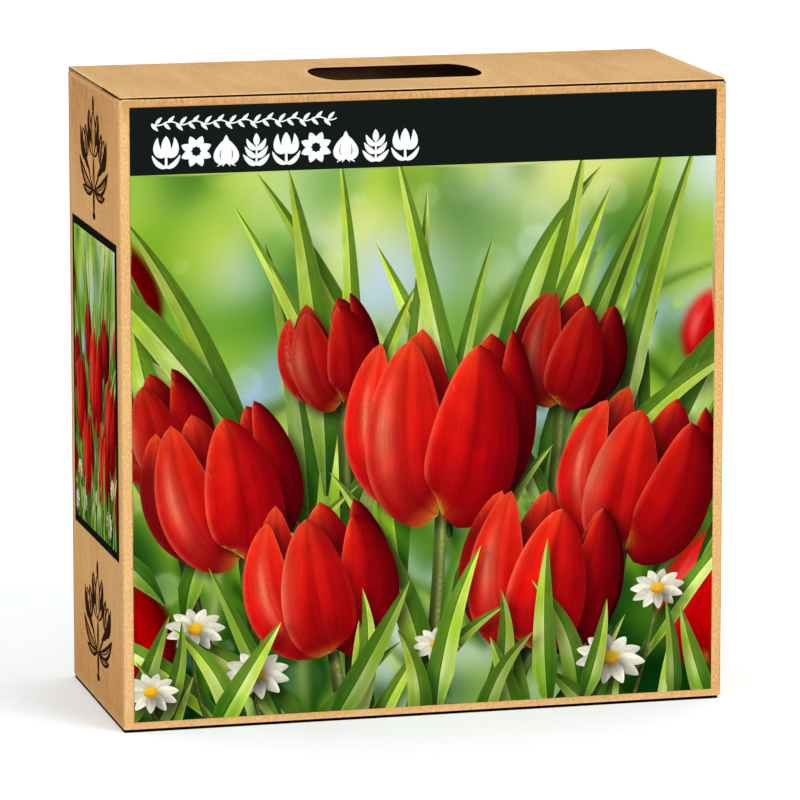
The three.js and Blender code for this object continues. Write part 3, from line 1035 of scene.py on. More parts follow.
HIGH_PATCHES = [(150, 186, 70), (204, 214, 120), (178, 202, 226), (96, 150, 40), (214, 226, 224),
                (62, 112, 34), (186, 208, 60)]
MIDDLE_PATCHES = [(132, 172, 44), (54, 100, 28), (186, 206, 72), (34, 78, 24), (160, 190, 58),
                  (148, 178, 200), (72, 122, 34)]
LOW_PATCHES = [(30, 72, 20), (18, 50, 16), (92, 140, 36), (48, 96, 26), (146, 178, 54), (22, 60, 20),
               (170, 196, 160)]
MIDDLE_FROM, HIGH_FROM = 75, 170  # heights in the picture
LENS_LIGHTS = [(236, 242, 214), (216, 228, 132), (196, 216, 240), (186, 210, 70), (246, 250, 240)]
PATCHES, LENS_DISCS, SOFT_LEAVES = 190, 90, 44
SATURATION = 1.2


def background(points):
    """A garden out of focus: soft patches of leaves, shade and pale sky light."""
    rng = random.Random(5)
    x, z = points.T
    total = np.zeros((len(points), 3))
    weight = np.full(len(points), 1e-6)
    for _ in range(PATCHES):
        cx, cz = rng.uniform(-10, 300), rng.uniform(-10, 275)
        palette = HIGH_PATCHES if cz > HIGH_FROM else MIDDLE_PATCHES if cz > MIDDLE_FROM else LOW_PATCHES
        colour, size = np.array(rng.choice(palette), float), rng.uniform(5, 17)
        share = np.exp(-((x - cx) ** 2 + (z - cz) ** 2) / (2 * size ** 2))
        total += share[:, None] * colour
        weight += share
    colour = total / weight[:, None]
    for _ in range(LENS_DISCS):
        cx, cz, size = rng.uniform(0, 290), rng.uniform(10, 268), rng.uniform(2.5, 11)
        away = np.hypot(x - cx, z - cz)
        light = rng.choice(LENS_LIGHTS)
        disc = step(size * 1.25, size * 0.8, away) * (0.75 + 0.25 * step(size * 0.5, size, away))
        colour = mix(colour, light, disc * rng.uniform(0.12, 0.5) * (1.1 - size / 16))
    for ribbon, softness in soft_ribbons():
        near = np.all((points > ribbon.low - 9) & (points < ribbon.high + 9), axis=1)
        if near.any():
            s, t, away = ribbon.locate(points[near])
            t = np.clip(t, -1, 1)
            right, left = (ribbon.colours(s, t * 0.7, np.full(len(t), side))[0] for side in (-1.0, 1.0))
            painted = mix(right, left, step(-0.6, 0.6, t))
            colour[near] = mix(colour[near], painted, step(softness, -softness, away) * 0.9)
    middle_tone = colour.mean(0)
    return middle_tone + SATURATION * (colour - middle_tone)


def soft_ribbons():
    """What grows behind, out of focus, each with the softness of its edge."""
    rng = random.Random(23)
    far = []
    for _ in range(SOFT_LEAVES):
        foot = (rng.uniform(-10, 300), rng.uniform(-30, 150))
        leaf = blade(foot, rng.uniform(-0.9, 0.9), rng.uniform(50, 120), rng.uniform(7, 18),
                     rng.uniform(-0.4, 0.4), rng, rng.uniform(0, 0.5))
        far.append((leaf, rng.uniform(2.5, 7)))
    for x, z, height, lean in ((-6, 176, 64, -24), (288, 14, 66, 20), (0, 16, 50, -12), (290, 160, 40, 16)):
        far.extend((petal, 3.4) for petal in bloom(x, z, height, math.radians(lean), 0.96))
    return far


LIGHT_OFFSET = np.array([3.0, -3.6])  # how far a shadow falls from what casts it
SHADOW_REACH = 5.0  # over which its edge fades, on both sides


def shade_below(points, later):
    """Soft shadow that the ribbons above cast on points."""
    light = np.ones(len(points))
    low, high = points.min(0) - 12, points.max(0) + 12
    for ribbon in later:
        if (ribbon.low > high).any() or (ribbon.high < low).any():
            continue
        moved = points - LIGHT_OFFSET
        near = np.all((moved > ribbon.low - SHADOW_REACH) & (moved < ribbon.high + SHADOW_REACH), axis=1)
        if near.any():
            _, _, away = ribbon.locate(moved[near])
            light[near] *= 1 - 0.42 * step(SHADOW_REACH, -SHADOW_REACH, away)
    return light


def paint_points(points, ribbons, owner, side):
    """sRGB colours of points that belong to the ribbon number owner, or to the background at -1."""
    colour, vein, grain = np.zeros((len(points), 3)), np.zeros(len(points)), np.zeros((len(points), 2))
    back = owner < 0
    colour[back] = background(points[back])
    for i, ribbon in enumerate(ribbons):
        mine = owner == i
        if not mine.any():
            continue
        s, t, _ = ribbon.locate(points[mine])
        t = np.clip(t, -1, 1)
        painted, vein[mine] = ribbon.colours(s, t, side[mine])
        light = shade_below(points[mine], ribbons[i + 1:]) * (1 + 0.03 * cloud(points[mine]))
        colour[mine] = painted * light[:, None]
        grain[mine] = np.stack([s * ribbon.length, t * ribbon.half.max()], -1)
    return np.clip(colour, 0, 255), vein, grain


# ---- white ornaments in the black band ----

MOTIFS, MOTIF_FOOT, MOTIF_SIZE = 9, 268.5, 15.5
GARLAND = 290.0  # its height on the label
GARLAND_WAVES = 15


def white_petal(s):
    return np.sin(np.pi * np.clip(s, 0, 1) ** 0.8) ** 0.7


def shape(x, z, size, control, width, profile=white_petal):
    return Ribbon([(x + size * a, z + size * b) for a, b in control], size * width, profile)


def motif(x, z, size, middle, pairs):
    """White shapes: those in the middle, then those that stand on both sides, drawn on the right."""
    parts = [shape(x, z, size, *part) for part in middle]
    for side in (-1, 1):
        parts += [shape(x, z, size, [(side * a, b) for a, b in control], width) for control, width in pairs]
    return parts


def white_tulip(x, z, size):
    middle = [([(0, 0.0), (0, 0.25), (0, 0.5)], 0.09, stem_profile), ([(0, 0.36), (0, 0.7), (0, 1.0)], 0.3)]
    petal, leaf = [(0, 0.4), (0.4, 0.4), (0.26, 0.96)], [(0, 0.02), (0.3, 0.06), (0.44, 0.42)]
    return motif(x, z, size, middle, [(petal, 0.26), (leaf, 0.15)])


def white_sprig(x, z, size):
    parts = motif(x, z, size, [([(0, 0.0), (0.02, 0.4), (0, 0.82)], 0.07, stem_profile),
                               ([(0, 0.62), (0.02, 0.8), (0, 1.0)], 0.2)], [])
    for i in range(3):
        low = 0.04 + 0.24 * i
        parts += motif(x, z, size, [], [([(0, low), (0.2, low), (0.42 - 0.06 * i, low + 0.32)], 0.17)])
    return parts


def white_bulb(x, z, size):
    roots = [([(0, 0.12), (reach, 0.08), (reach * 1.2, 0)], 0.05) for reach in (0.1, 0.24)]
    return motif(x, z, size, [([(0, 0.1), (0, 0.36), (0, 0.98)], 0.36)],
                 [([(0.04, 0.1), (0.56, 0.2), (0.05, 0.84)], 0.2), *roots])


def white_flower(x, z, size):
    parts = []
    for i in range(8):
        angle = (i + 0.5) * math.pi / 4
        ray = [(k * math.cos(angle), k * math.sin(angle)) for k in (0.13, 0.3, 0.5)]
        parts.append(shape(x, z + 0.5 * size, size, ray, 0.25))
    return parts


def band_ornaments():
    """A thin garland over a row of bold motifs, where such cartons carry their words."""
    parts = []
    row = [white_tulip, white_sprig, white_bulb, white_flower]
    for i in range(MOTIFS):
        parts += row[(i * 3) % 4](17.5 + 14.6 * i, MOTIF_FOOT, MOTIF_SIZE)
    for i in range(GARLAND_WAVES):
        x, bend = 10.5 + 6.0 * i, 1.1 if i % 2 else -1.1
        wave = [(x, GARLAND), (x + 2, GARLAND + bend), (x + 4, GARLAND + bend), (x + 6.1, GARLAND)]
        parts.append(Ribbon(wave, 0.75, stem_profile))
        for side in (-1, 1):
            start, reach = x + 1 + side, 3.6 if side * bend > 0 else 2.9
            leaf = [(start, GARLAND + 0.4 * bend), (start + 1.4, GARLAND + side * 1.6),
                    (start + 3.2, GARLAND + side * reach)]
            parts.append(Ribbon(leaf, 1.7, white_petal))
    return parts


# ---- printed sheets ----

BLACK, WHITE = (21, 27, 24), (246, 248, 245)
INK_SHARE = 0.7  # inks are painted as they look in the studio's light, which is stronger than this paper
GROUND, DARK, LIGHT = -1, -2, -3  # owners of what no ribbon covers
FRONT_SPACING, SIDE_SPACING = 1.9, 5.0  # of the points over a printed picture


def without_repeats(loop):
    return loop[np.hypot(*(loop - np.roll(loop, 1, axis=0)).T) > 0.03]


def honeycomb(x0, z0, x1, z1, spacing):
    """Points in even rows, every other row moved by half a step."""
    rows = []
    for i, z in enumerate(np.arange(z0 + spacing / 2, z1, spacing * 0.866)):
        xs = np.arange(x0 + spacing * (0.4 + 0.5 * (i % 2)), x1 - spacing * 0.3, spacing)
        rows.append(np.column_stack([xs, np.full(len(xs), z)]))
    return np.concatenate(rows)


def cut_picture(outer, ribbons, marks, spacing):
    """Splits a printed sheet into triangles that no outline crosses, and says what each shows."""
    loops = [np.array(rectangle(*outer)), np.array(rectangle(0, 0, PICTURE_WIDTH, PICTURE_HEIGHT))]
    loops += [without_repeats(ribbon.outline()) for ribbon in [*ribbons, *marks]]
    points, faces, edges = [], [], []
    for loop in loops:
        faces.append(list(range(len(points), len(points) + len(loop))))
        points.extend(loop)
    for line in (ribbon.line for ribbon in ribbons):
        first = len(points)
        start, end = line[0] + 0.02 * (line[1] - line[0]), line[-1] + 0.02 * (line[-2] - line[-1])
        points.extend([start, *line[1:-1], end])
        edges.extend((i, i + 1) for i in range(first, len(points) - 1))
    points.extend(honeycomb(0, 0, PICTURE_WIDTH, PICTURE_HEIGHT, spacing))
    found, _, triangles, _, _, within = delaunay_2d_cdt([Vector(p) for p in points], edges, faces, 1, 1e-5)
    kept = [(t, of) for t, of in zip(triangles, within) if 0 in of]
    triangles = np.array([t for t, _ in kept])
    flat = np.array([v[:] for v in found])
    middle = flat[triangles].mean(1)
    inside = ((middle > 0) & (middle < (PICTURE_WIDTH, PICTURE_HEIGHT))).all(1)
    owner = np.full(len(kept), GROUND)
    for i, (_, of) in enumerate(kept):
        shapes = [k - 2 for k in of if k > 1]
        if inside[i]:
            owner[i] = max([k for k in shapes if k < len(ribbons)], default=GROUND)
        else:
            owner[i] = LIGHT if any(k >= len(ribbons) for k in shapes) else DARK
    side = np.ones(len(kept))
    for i, ribbon in enumerate(ribbons):
        mine = owner == i
        if mine.any():
            side[mine] = np.where(ribbon.locate(middle[mine])[1] < 0, -1, 1)
    return flat, triangles, owner, side


def printed_sheet(name, node, outer, to_face, back, ribbons, marks, spacing, material):
    """A printed label: its picture in the front faces' colours, and a plain back."""
    flat, triangles, owner, side = cut_picture(outer, ribbons, marks, spacing)
    keys = np.column_stack([triangles.ravel(), np.repeat(owner, 3), np.repeat(side, 3).astype(int)])
    unique, where = np.unique(keys, axis=0, return_inverse=True)
    where = where.ravel()
    colour, vein, grain = paint_points(flat[unique[:, 0]], ribbons, unique[:, 1], unique[:, 2].astype(float))
    colour[unique[:, 1] == DARK], colour[unique[:, 1] == LIGHT] = BLACK, WHITE

    used, renumbered = np.unique(triangles, return_inverse=True)
    triangles = renumbered.reshape(-1, 3)
    flat = flat[used]
    ring = {a: b for a, b in border([list(t) for t in triangles.tolist()])}
    loop = [next(iter(ring))]
    while ring[loop[-1]] != loop[0]:
        loop.append(ring[loop[-1]])
    front = to_face(flat)
    behind = front[loop] + back
    n = len(flat)
    sides = [[loop[(i + 1) % len(loop)], loop[i], n + i, n + (i + 1) % len(loop)] for i in range(len(loop))]
    plain = [list(range(n, n + len(loop)))[::-1]]

    mesh = bpy.data.meshes.new(name)
    mesh.from_pydata((np.concatenate([front, behind]) * MM).tolist(), [], triangles.tolist() + sides + plain)
    mesh.materials.append(material)
    corners = len(mesh.loops)
    ink = np.tile(np.append(linear(BLACK) * INK_SHARE, 0.0), (corners, 1))
    ink[:len(where), :3] = linear(colour)[where] * INK_SHARE
    ink[:len(where), 3] = vein[where]
    layer = mesh.color_attributes.new("ink", "FLOAT_COLOR", "CORNER")
    layer.data.foreach_set("color", ink.astype(np.float32).ravel())
    along = np.zeros((corners, 2))
    along[:len(where)] = grain[where]
    mesh.uv_layers.new(name="grain").data.foreach_set("uv", along.astype(np.float32).ravel())
    turn_outward(mesh)
    mesh.shade_flat()
    piece = placed(name, mesh)
    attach(piece, "root")
    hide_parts(node)
    return piece


def printed_paper(name):
    """Satin printed paper: the ink's colours, with fine veins drawn out along leaves and petals."""
    n = Nodes(name, specular=0.0)
    grain = n.attribute("grain", "Vector")
    veins = n.noise(grain, 1 / 0.55, 3, (26, 1, 1), 0.6)
    broad = n.noise(grain, 1 / 2.2, 2, (14, 1, 1), 0.5)
    strength = n.math("MULTIPLY", n.attribute("ink", "Alpha"), 3.2)
    swing = n.math("SUBTRACT", n.weighted((veins, 0.6), (broad, 0.4)), 0.5)
    light = n.math("ADD", 1.0, n.math("MULTIPLY", swing, strength))
    n.set(Base_Color=n.mix(1.0, n.attribute("ink", "Color"), light, "MULTIPLY"), Roughness=0.55)
    n.bump(n.noise(n.metres(), 700, 2), 0.12, 0.00003)
    return n.material


SIDE_FRAME = 4.0  # black frame round the side picture


def front_print(ribbons, material):
    low, high = cad_box("front_label")

    def to_face(flat):
        return np.column_stack([low[0] + flat[:, 0], np.full(len(flat), low[1]), low[2] + flat[:, 1]])

    outer = (0, 0, high[0] - low[0], high[2] - low[2])
    return printed_sheet("front_print", "front_label", outer, to_face, [0, high[1] - low[1], 0],
                         ribbons, band_ornaments(), FRONT_SPACING, material)


def side_print(side, name, ribbons, material):
    """The same picture on a side wall, squeezed to the wall's width, in a black frame."""
    low, high = cad_box(name)
    face = low[0] if side < 0 else high[0]
    width, height = high[1] - low[1] - 2 * SIDE_FRAME, high[2] - low[2] - 2 * SIDE_FRAME
    squeeze = np.array([width / PICTURE_WIDTH, height / PICTURE_HEIGHT])
    margin = SIDE_FRAME / squeeze

    def to_face(flat):
        across, up = (flat * squeeze + SIDE_FRAME).T
        y = high[1] - across if side < 0 else low[1] + across
        return np.column_stack([np.full(len(flat), face), y, low[2] + up])

    outer = (-margin[0], -margin[1], PICTURE_WIDTH + margin[0], PICTURE_HEIGHT + margin[1])
    return printed_sheet(name.replace("label", "print"), name, outer, to_face,
                         [-side * (high[0] - low[0]), 0, 0], ribbons, [], SIDE_SPACING, material)


def prints():
    ribbons = composition()
    paper = printed_paper("printed_paper")
    ink = brown_ink("brown_ink")
    front_print(ribbons, paper)
    for side, name in ((-1, "side_label_left"), (1, "side_label_right")):
        side_print(side, name, ribbons, paper)
        side_mark(name.replace("label", "mark"), side, ink)


# ---- materials ----

class Nodes:
    """Short calls for building one material's node tree."""

    def __init__(self, name, specular=0.5):
        self.material = bpy.data.materials.new(name)
        self.material.use_nodes = True
        self.tree = self.material.node_tree
        self.shader = self.tree.nodes["Principled BSDF"]
        self.set(Specular_IOR_Level=specular)

    def add(self, kind, settings=None, **inputs):
        """A node of a kind, with its own settings, and inputs that are values or other outputs."""
        node = self.tree.nodes.new("ShaderNode" + kind)
        for key, value in (settings or {}).items():
            setattr(node, key, value)
        for key, value in inputs.items():
            socket = node.inputs[int(key[1:])] if key[1:].isdigit() else node.inputs[key.replace("_", " ")]
            self.feed(socket, value)
        return node.outputs[0]

    def feed(self, socket, value):
        if isinstance(value, bpy.types.NodeSocket):
            self.tree.links.new(value, socket)
        else:
            socket.default_value = value

    def math(self, operation, a, b):
        return self.add("Math", {"operation": operation}, i0=a, i1=b)

    def weighted(self, *parts):
        """The sum of values, each times its share."""
        total = 0.0
        for value, share in parts:
            total = self.math("ADD", total, self.math("MULTIPLY", value, share))
        return total

    def ramp(self, value, low, high):
        """value from low to high, as 0 to 1."""
        smooth = {"interpolation_type": "SMOOTHSTEP"}
        return self.add("MapRange", smooth, Value=value, From_Min=low, From_Max=high)

    def mix(self, share, a, b, blend="MIX"):
        node = self.tree.nodes.new("ShaderNodeMix")
        node.data_type, node.blend_type = "RGBA", blend
        for socket, value in zip((node.inputs[0], node.inputs[6], node.inputs[7]), (share, a, b)):
            self.feed(socket, value)
        return node.outputs[2]

    def tints(self, colour, *layers):
        """The colour with others over it, each by its share of a mask."""
        for mask, share, srgb in layers:
            colour = self.mix(self.math("MULTIPLY", mask, share), colour, rgb(*srgb))
        return colour

    def noise(self, place, scale, detail=2.0, stretch=(1, 1, 1), roughness=0.5):
        """Noise with features about 1/scale long, drawn out along the axes by stretch."""
        moved = self.add("Mapping", Vector=place, Scale=[scale / s for s in stretch])
        return self.add("TexNoise", Vector=moved, Scale=1.0, Detail=detail, Roughness=roughness)

    def attribute(self, name, output="Fac"):
        node = self.tree.nodes.new("ShaderNodeAttribute")
        node.attribute_name = name
        return node.outputs[output]

    def metres(self):
        """Where a point is on its object."""
        return self.tree.nodes.new("ShaderNodeTexCoord").outputs["Object"]

    def millimetres(self):
        return self.add("Mapping", Vector=self.metres(), Scale=[1000] * 3)

    def set(self, **values):
        for key, value in values.items():
            self.feed(self.shader.inputs[key.replace("_", " ")], value)

    def paint(self, colour, by, least, most):
        """Sets the colour, and a roughness that goes from least to most by another value."""
        self.set(Base_Color=colour, Roughness=self.add("MapRange", Value=by, To_Min=least, To_Max=most))

    def bump(self, height, strength, distance):
        self.set(Normal=self.add("Bump", Strength=strength, Distance=distance, Height=height))


def rgb(*srgb):
    return (*linear(srgb), 1.0)


def kraft(name, base, shade, speckle):
    """Brown kraft liner: faint clouds, streaks and fibres along the flutes, flecks, paler where rubbed."""
    n = Nodes(name, specular=0.12)
    blank = n.attribute("blank", "Vector")
    clouds = n.noise(blank, 1 / 34, 3, (1, 2.6, 1), 0.5)
    bands = n.noise(blank, 1 / 8, 2, (1, 14, 1), 0.5)
    mottle = n.noise(blank, 1 / 2.6, 3, (0.9, 1.6, 1), 0.65)
    streak = n.noise(blank, 1 / 1.1, 3, (1, 14, 1), 0.6)
    grain = n.noise(blank, 1 / 1.1, 3, (0.9, 1.3, 1), 0.7)
    fibre = n.noise(blank, 1 / 0.42, 2, (0.8, 4.5, 1), 0.6)
    fleck = n.noise(blank, 1 / 1.0, 1, (0.8, 1.4, 1), 0.5)
    flutes = n.noise(blank, 1 / 1.5, 3, (1, 6, 1), 0.7)
    smear = n.noise(blank, 1 / 7, 3, (1, 3.5, 1), 0.6)
    pressing_and_shade, wear = n.attribute("crush"), n.attribute("wear")
    crush = n.math("MINIMUM", pressing_and_shade, 1.0)
    brown, pale = [c * share for c, share in zip(shade, (0.9, 0.82, 0.72))], (236, 208, 160)
    tone = n.ramp(n.weighted((clouds, 0.62), (bands, 0.38)), 0.34, 0.64)
    colour = n.tints(
        n.mix(tone, rgb(*shade), rgb(*base)),
        (n.ramp(streak, 0.52, 0.8), 0.22, brown),
        (n.ramp(mottle, 0.5, 0.8), 0.24 * speckle, brown),
        (n.ramp(grain, 0.5, 0.68), 0.6 * speckle, (174, 106, 54)),
        (n.ramp(grain, 0.48, 0.3), 0.45 * speckle, pale),
        (n.ramp(fibre, 0.56, 0.8), 0.2, pale),
        (n.ramp(fleck, 0.67, 0.75), 0.6 * speckle, (112, 70, 36)))
    # The crush attribute browns and darkens where flutes show through; on the side walls it is painted
    # shade, making them darker and warmer.
    pressed_pale = n.mix(1.0, colour, rgb(240, 221, 190), "MULTIPLY")
    colour = n.tints(
        n.mix(n.math("MULTIPLY", crush, 0.9), colour, pressed_pale),
        (n.math("MULTIPLY", crush, n.ramp(smear, 0.46, 0.72)), 0.4, (178, 118, 62)),
        (n.math("MULTIPLY", crush, n.ramp(flutes, 0.45, 0.66)), 0.55, (180, 112, 58)),
        # Above 1, darker brown still: painted shade along the right front fold and towards the sides' tops,
        # and darker at the front's top edge.
        (n.math("MULTIPLY", n.ramp(pressing_and_shade, 0.9, 1.5), n.ramp(flutes, 0.3, 0.68)), 0.85, (148, 103, 57)),
        (n.math("MULTIPLY", wear, n.ramp(mottle, 0.1, 0.7)), 0.45, pale))
    n.paint(colour, mottle, 0.75, 0.92)
    bands_across = {"wave_type": "BANDS", "bands_direction": "X"}
    ripple = n.add("TexWave", bands_across, Vector=blank, Scale=0.314 / FLUTE)
    n.bump(n.weighted((fibre, 0.5), (mottle, 0.6), (grain, 0.7), (ripple, 0.35)), 0.45, 0.00008)
    return n.material


def cut_edge(name, light, dark):
    """The rough brown papers of the board where it was cut; with near-black colours, the same look is
    painted shade.
    """
    n = Nodes(name, specular=0.0)
    fibre = n.noise(n.millimetres(), 1 / 0.4, 3)
    n.set(Base_Color=n.mix(n.ramp(fibre, 0.3, 0.7), rgb(*dark), rgb(*light)), Roughness=0.92)
    n.bump(fibre, 0.5, 0.0001)
    return n.material


# ---- line drawings printed on the side walls ----

MARK_HEIGHTS = (43.0, 272.0)  # of their middles, below and above the side label
INK_THICKNESS = 0.03


def stroke_profile(s):
    return 0.25 + 0.75 * np.sin(np.pi * s) ** 0.7


class Stroke(Ribbon):
    """One pen line, thin at its ends and bolder where it is upright."""

    STEPS = 12

    def __init__(self, control, width):
        super().__init__(control, width, stroke_profile)
        self.half *= 0.75 + 1.0 * np.abs(self.across[:, 0])


PEN_CUP = (  # width and line of each stroke on the right half of a tulip's cup 1 high
    (1.8, [(0, 0), (0.6, 0.02), (0.56, 0.62), (0.4, 1)]),
    (1.5, [(0.4, 1), (0.3, 0.84), (0.26, 0.74), (0.22, 0.66)]),
    (1.7, [(0, 0.02), (0.32, 0.26), (0.26, 0.7), (0, 1.04)]),
    (0.7, [(0.34, 0.2), (0.44, 0.42), (0.38, 0.72)]),
    (0.6, [(0.05, 0.2), (0.11, 0.4), (0.04, 0.62)]),
)
PEN_LEAVES = (  # foot, middle, tip and width of each leaf on the right
    ((1.5, -20), (21, -20), (32, -7), 5.0),
    ((1.5, -20.5), (12, -24), (25, -21), 3.4),
    ((8, -12), (24, -6), (30, 9), 3.2),
    ((5, 3), (12, 9), (11, 19), 2.6),
)
PEN_RULES = ((-29, -16, 2.7), (-31.5, -27.5, 4.0), (20, 29, 2.7))  # from, to, width


def pen_tulip(x, z, size, lean):
    """The lines of a tulip's cup from its foot: petal edges, then the veins inside them."""
    return [Stroke(leant([(side * a, b) for a, b in control], x, z, size, lean), width)
            for side in (-1, 1) for width, control in PEN_CUP]


def pen_leaf(foot, middle, tip, width):
    """A leaf's two edges and its midrib."""
    foot, middle, tip = (np.array(p, float) for p in (foot, middle, tip))
    across = np.array([foot[1] - tip[1], tip[0] - foot[0]]) / np.hypot(*(tip - foot)) * width
    return [Stroke([foot, middle + across * k, tip], w) for k, w in ((-1, 1.9), (1, 1.9), (0.1, 0.8))]


def pen_sprig():
    """Three tulips over a fan of leaves, about 70 mm wide and 40 mm tall, with a rule above and below."""
    lines = pen_tulip(0, -3, 23, 0)
    lines += [Stroke([(k, -20), (k * 0.6, -12), (k * 0.4, -3)], 1.2) for k in (-1.8, 1.8)]
    for side in (-1, 1):
        lines += pen_tulip(side * 16.5, -6, 16, side * 0.5)
        lines.append(Stroke([(side * 1.5, -20), (side * 9, -14), (side * 16.5, -6)], 1.5))
        for *ways, width in PEN_LEAVES:
            lines += pen_leaf(*[(side * a, b) for a, b in ways], width)
    for line in lines:
        line.line = line.line * [1.08, 0.95] + [0, 2.4]
    return lines + [Stroke([(0, z0), (0, (z0 + z1) / 2), (0, z1)], width) for z0, z1, width in PEN_RULES]


def side_mark(name, side, material):
    """The two drawings on one side wall, as ink that lies on the board."""
    sheet = Sheet()
    for height in MARK_HEIGHTS:
        for i, line in enumerate(pen_sprig()):
            left, right = (line.line + k * line.across * line.half[:, None] for k in (1, -1))
            n = len(left)
            edges = np.concatenate([left, right])
            points = []
            for proud in (0.0, INK_THICKNESS + 0.0004 * i):
                x = np.full(2 * n, side * (HALF_WIDTH + proud))
                points.append(np.column_stack([x, side * edges[:, 0], height + edges[:, 1]]))
            top = [[k, k + 1, n + k + 1, n + k] for k in range(n - 1)]
            faces = top + [[2 * n + k for k in face[::-1]] for face in top]
            rim = [*range(n), *range(2 * n - 1, n - 1, -1)]
            faces += [[b, a, 2 * n + a, 2 * n + b] for a, b in zip(rim, rim[1:] + rim[:1])]
            sheet.add(np.concatenate(points), np.tile(edges, (2, 1)), 0.0, faces, [0] * len(faces))
    return sheet.make(name, "root", "printed_label", [material])


def brown_ink(name):
    """Flexo ink on kraft, a little broken where the liner is rough."""
    n = Nodes(name, specular=0.0)
    blank = n.attribute("blank", "Vector")
    cover, clouds = n.noise(blank, 1 / 0.5, 2), n.noise(blank, 1 / 6, 2)
    colour = n.mix(n.ramp(clouds, 0.3, 0.7), rgb(34, 20, 11), rgb(50, 30, 16))
    n.paint(n.tints(colour, (n.ramp(cover, 0.6, 0.74), 0.5, (104, 68, 38))), cover, 0.7, 0.9)
    n.bump(cover, 0.3, 0.00003)
    return n.material


# ---- the bulbs ----

BULBS = (("bulb_left", 84, 0.4), ("bulb_middle", 88, 1.5), ("bulb_right", 81, 2.7))  # node, across, turn
BULB_OUTLINE = [  # of a bulb 1 across, up its side and down its stem hole
    (0.21, 0.0), (0.3, 0.05), (0.43, 0.14), (0.5, 0.31), (0.48, 0.48), (0.38, 0.64), (0.24, 0.75),
    (0.15, 0.76), (0.11, 0.7), (0.09, 0.58)]
BULB_HOLE_FLOOR = 0.545
BULB_COLUMNS = 150
SKIN_SCRAPS, SKIN_GRID = 6, (41, 25)
ROOTS, ROOT_SIDES = 34, 7


def smooth_line(points, steps):
    """Points along the Catmull-Rom curve through the given ones."""
    p = np.array(points, float)
    p = np.concatenate([[2 * p[0] - p[1]], p, [2 * p[-1] - p[-2]]])
    t = np.linspace(0, 1, steps, endpoint=False)[:, None]
    runs = [
        ((2 * b) + (c - a) * t + (2 * a - 5 * b + 4 * c - d) * t ** 2 + (3 * b - a - 3 * c + d) * t ** 3) / 2
        for a, b, c, d in zip(p, p[1:], p[2:], p[3:])
    ]
    return np.concatenate([*runs, p[-2:-1]])


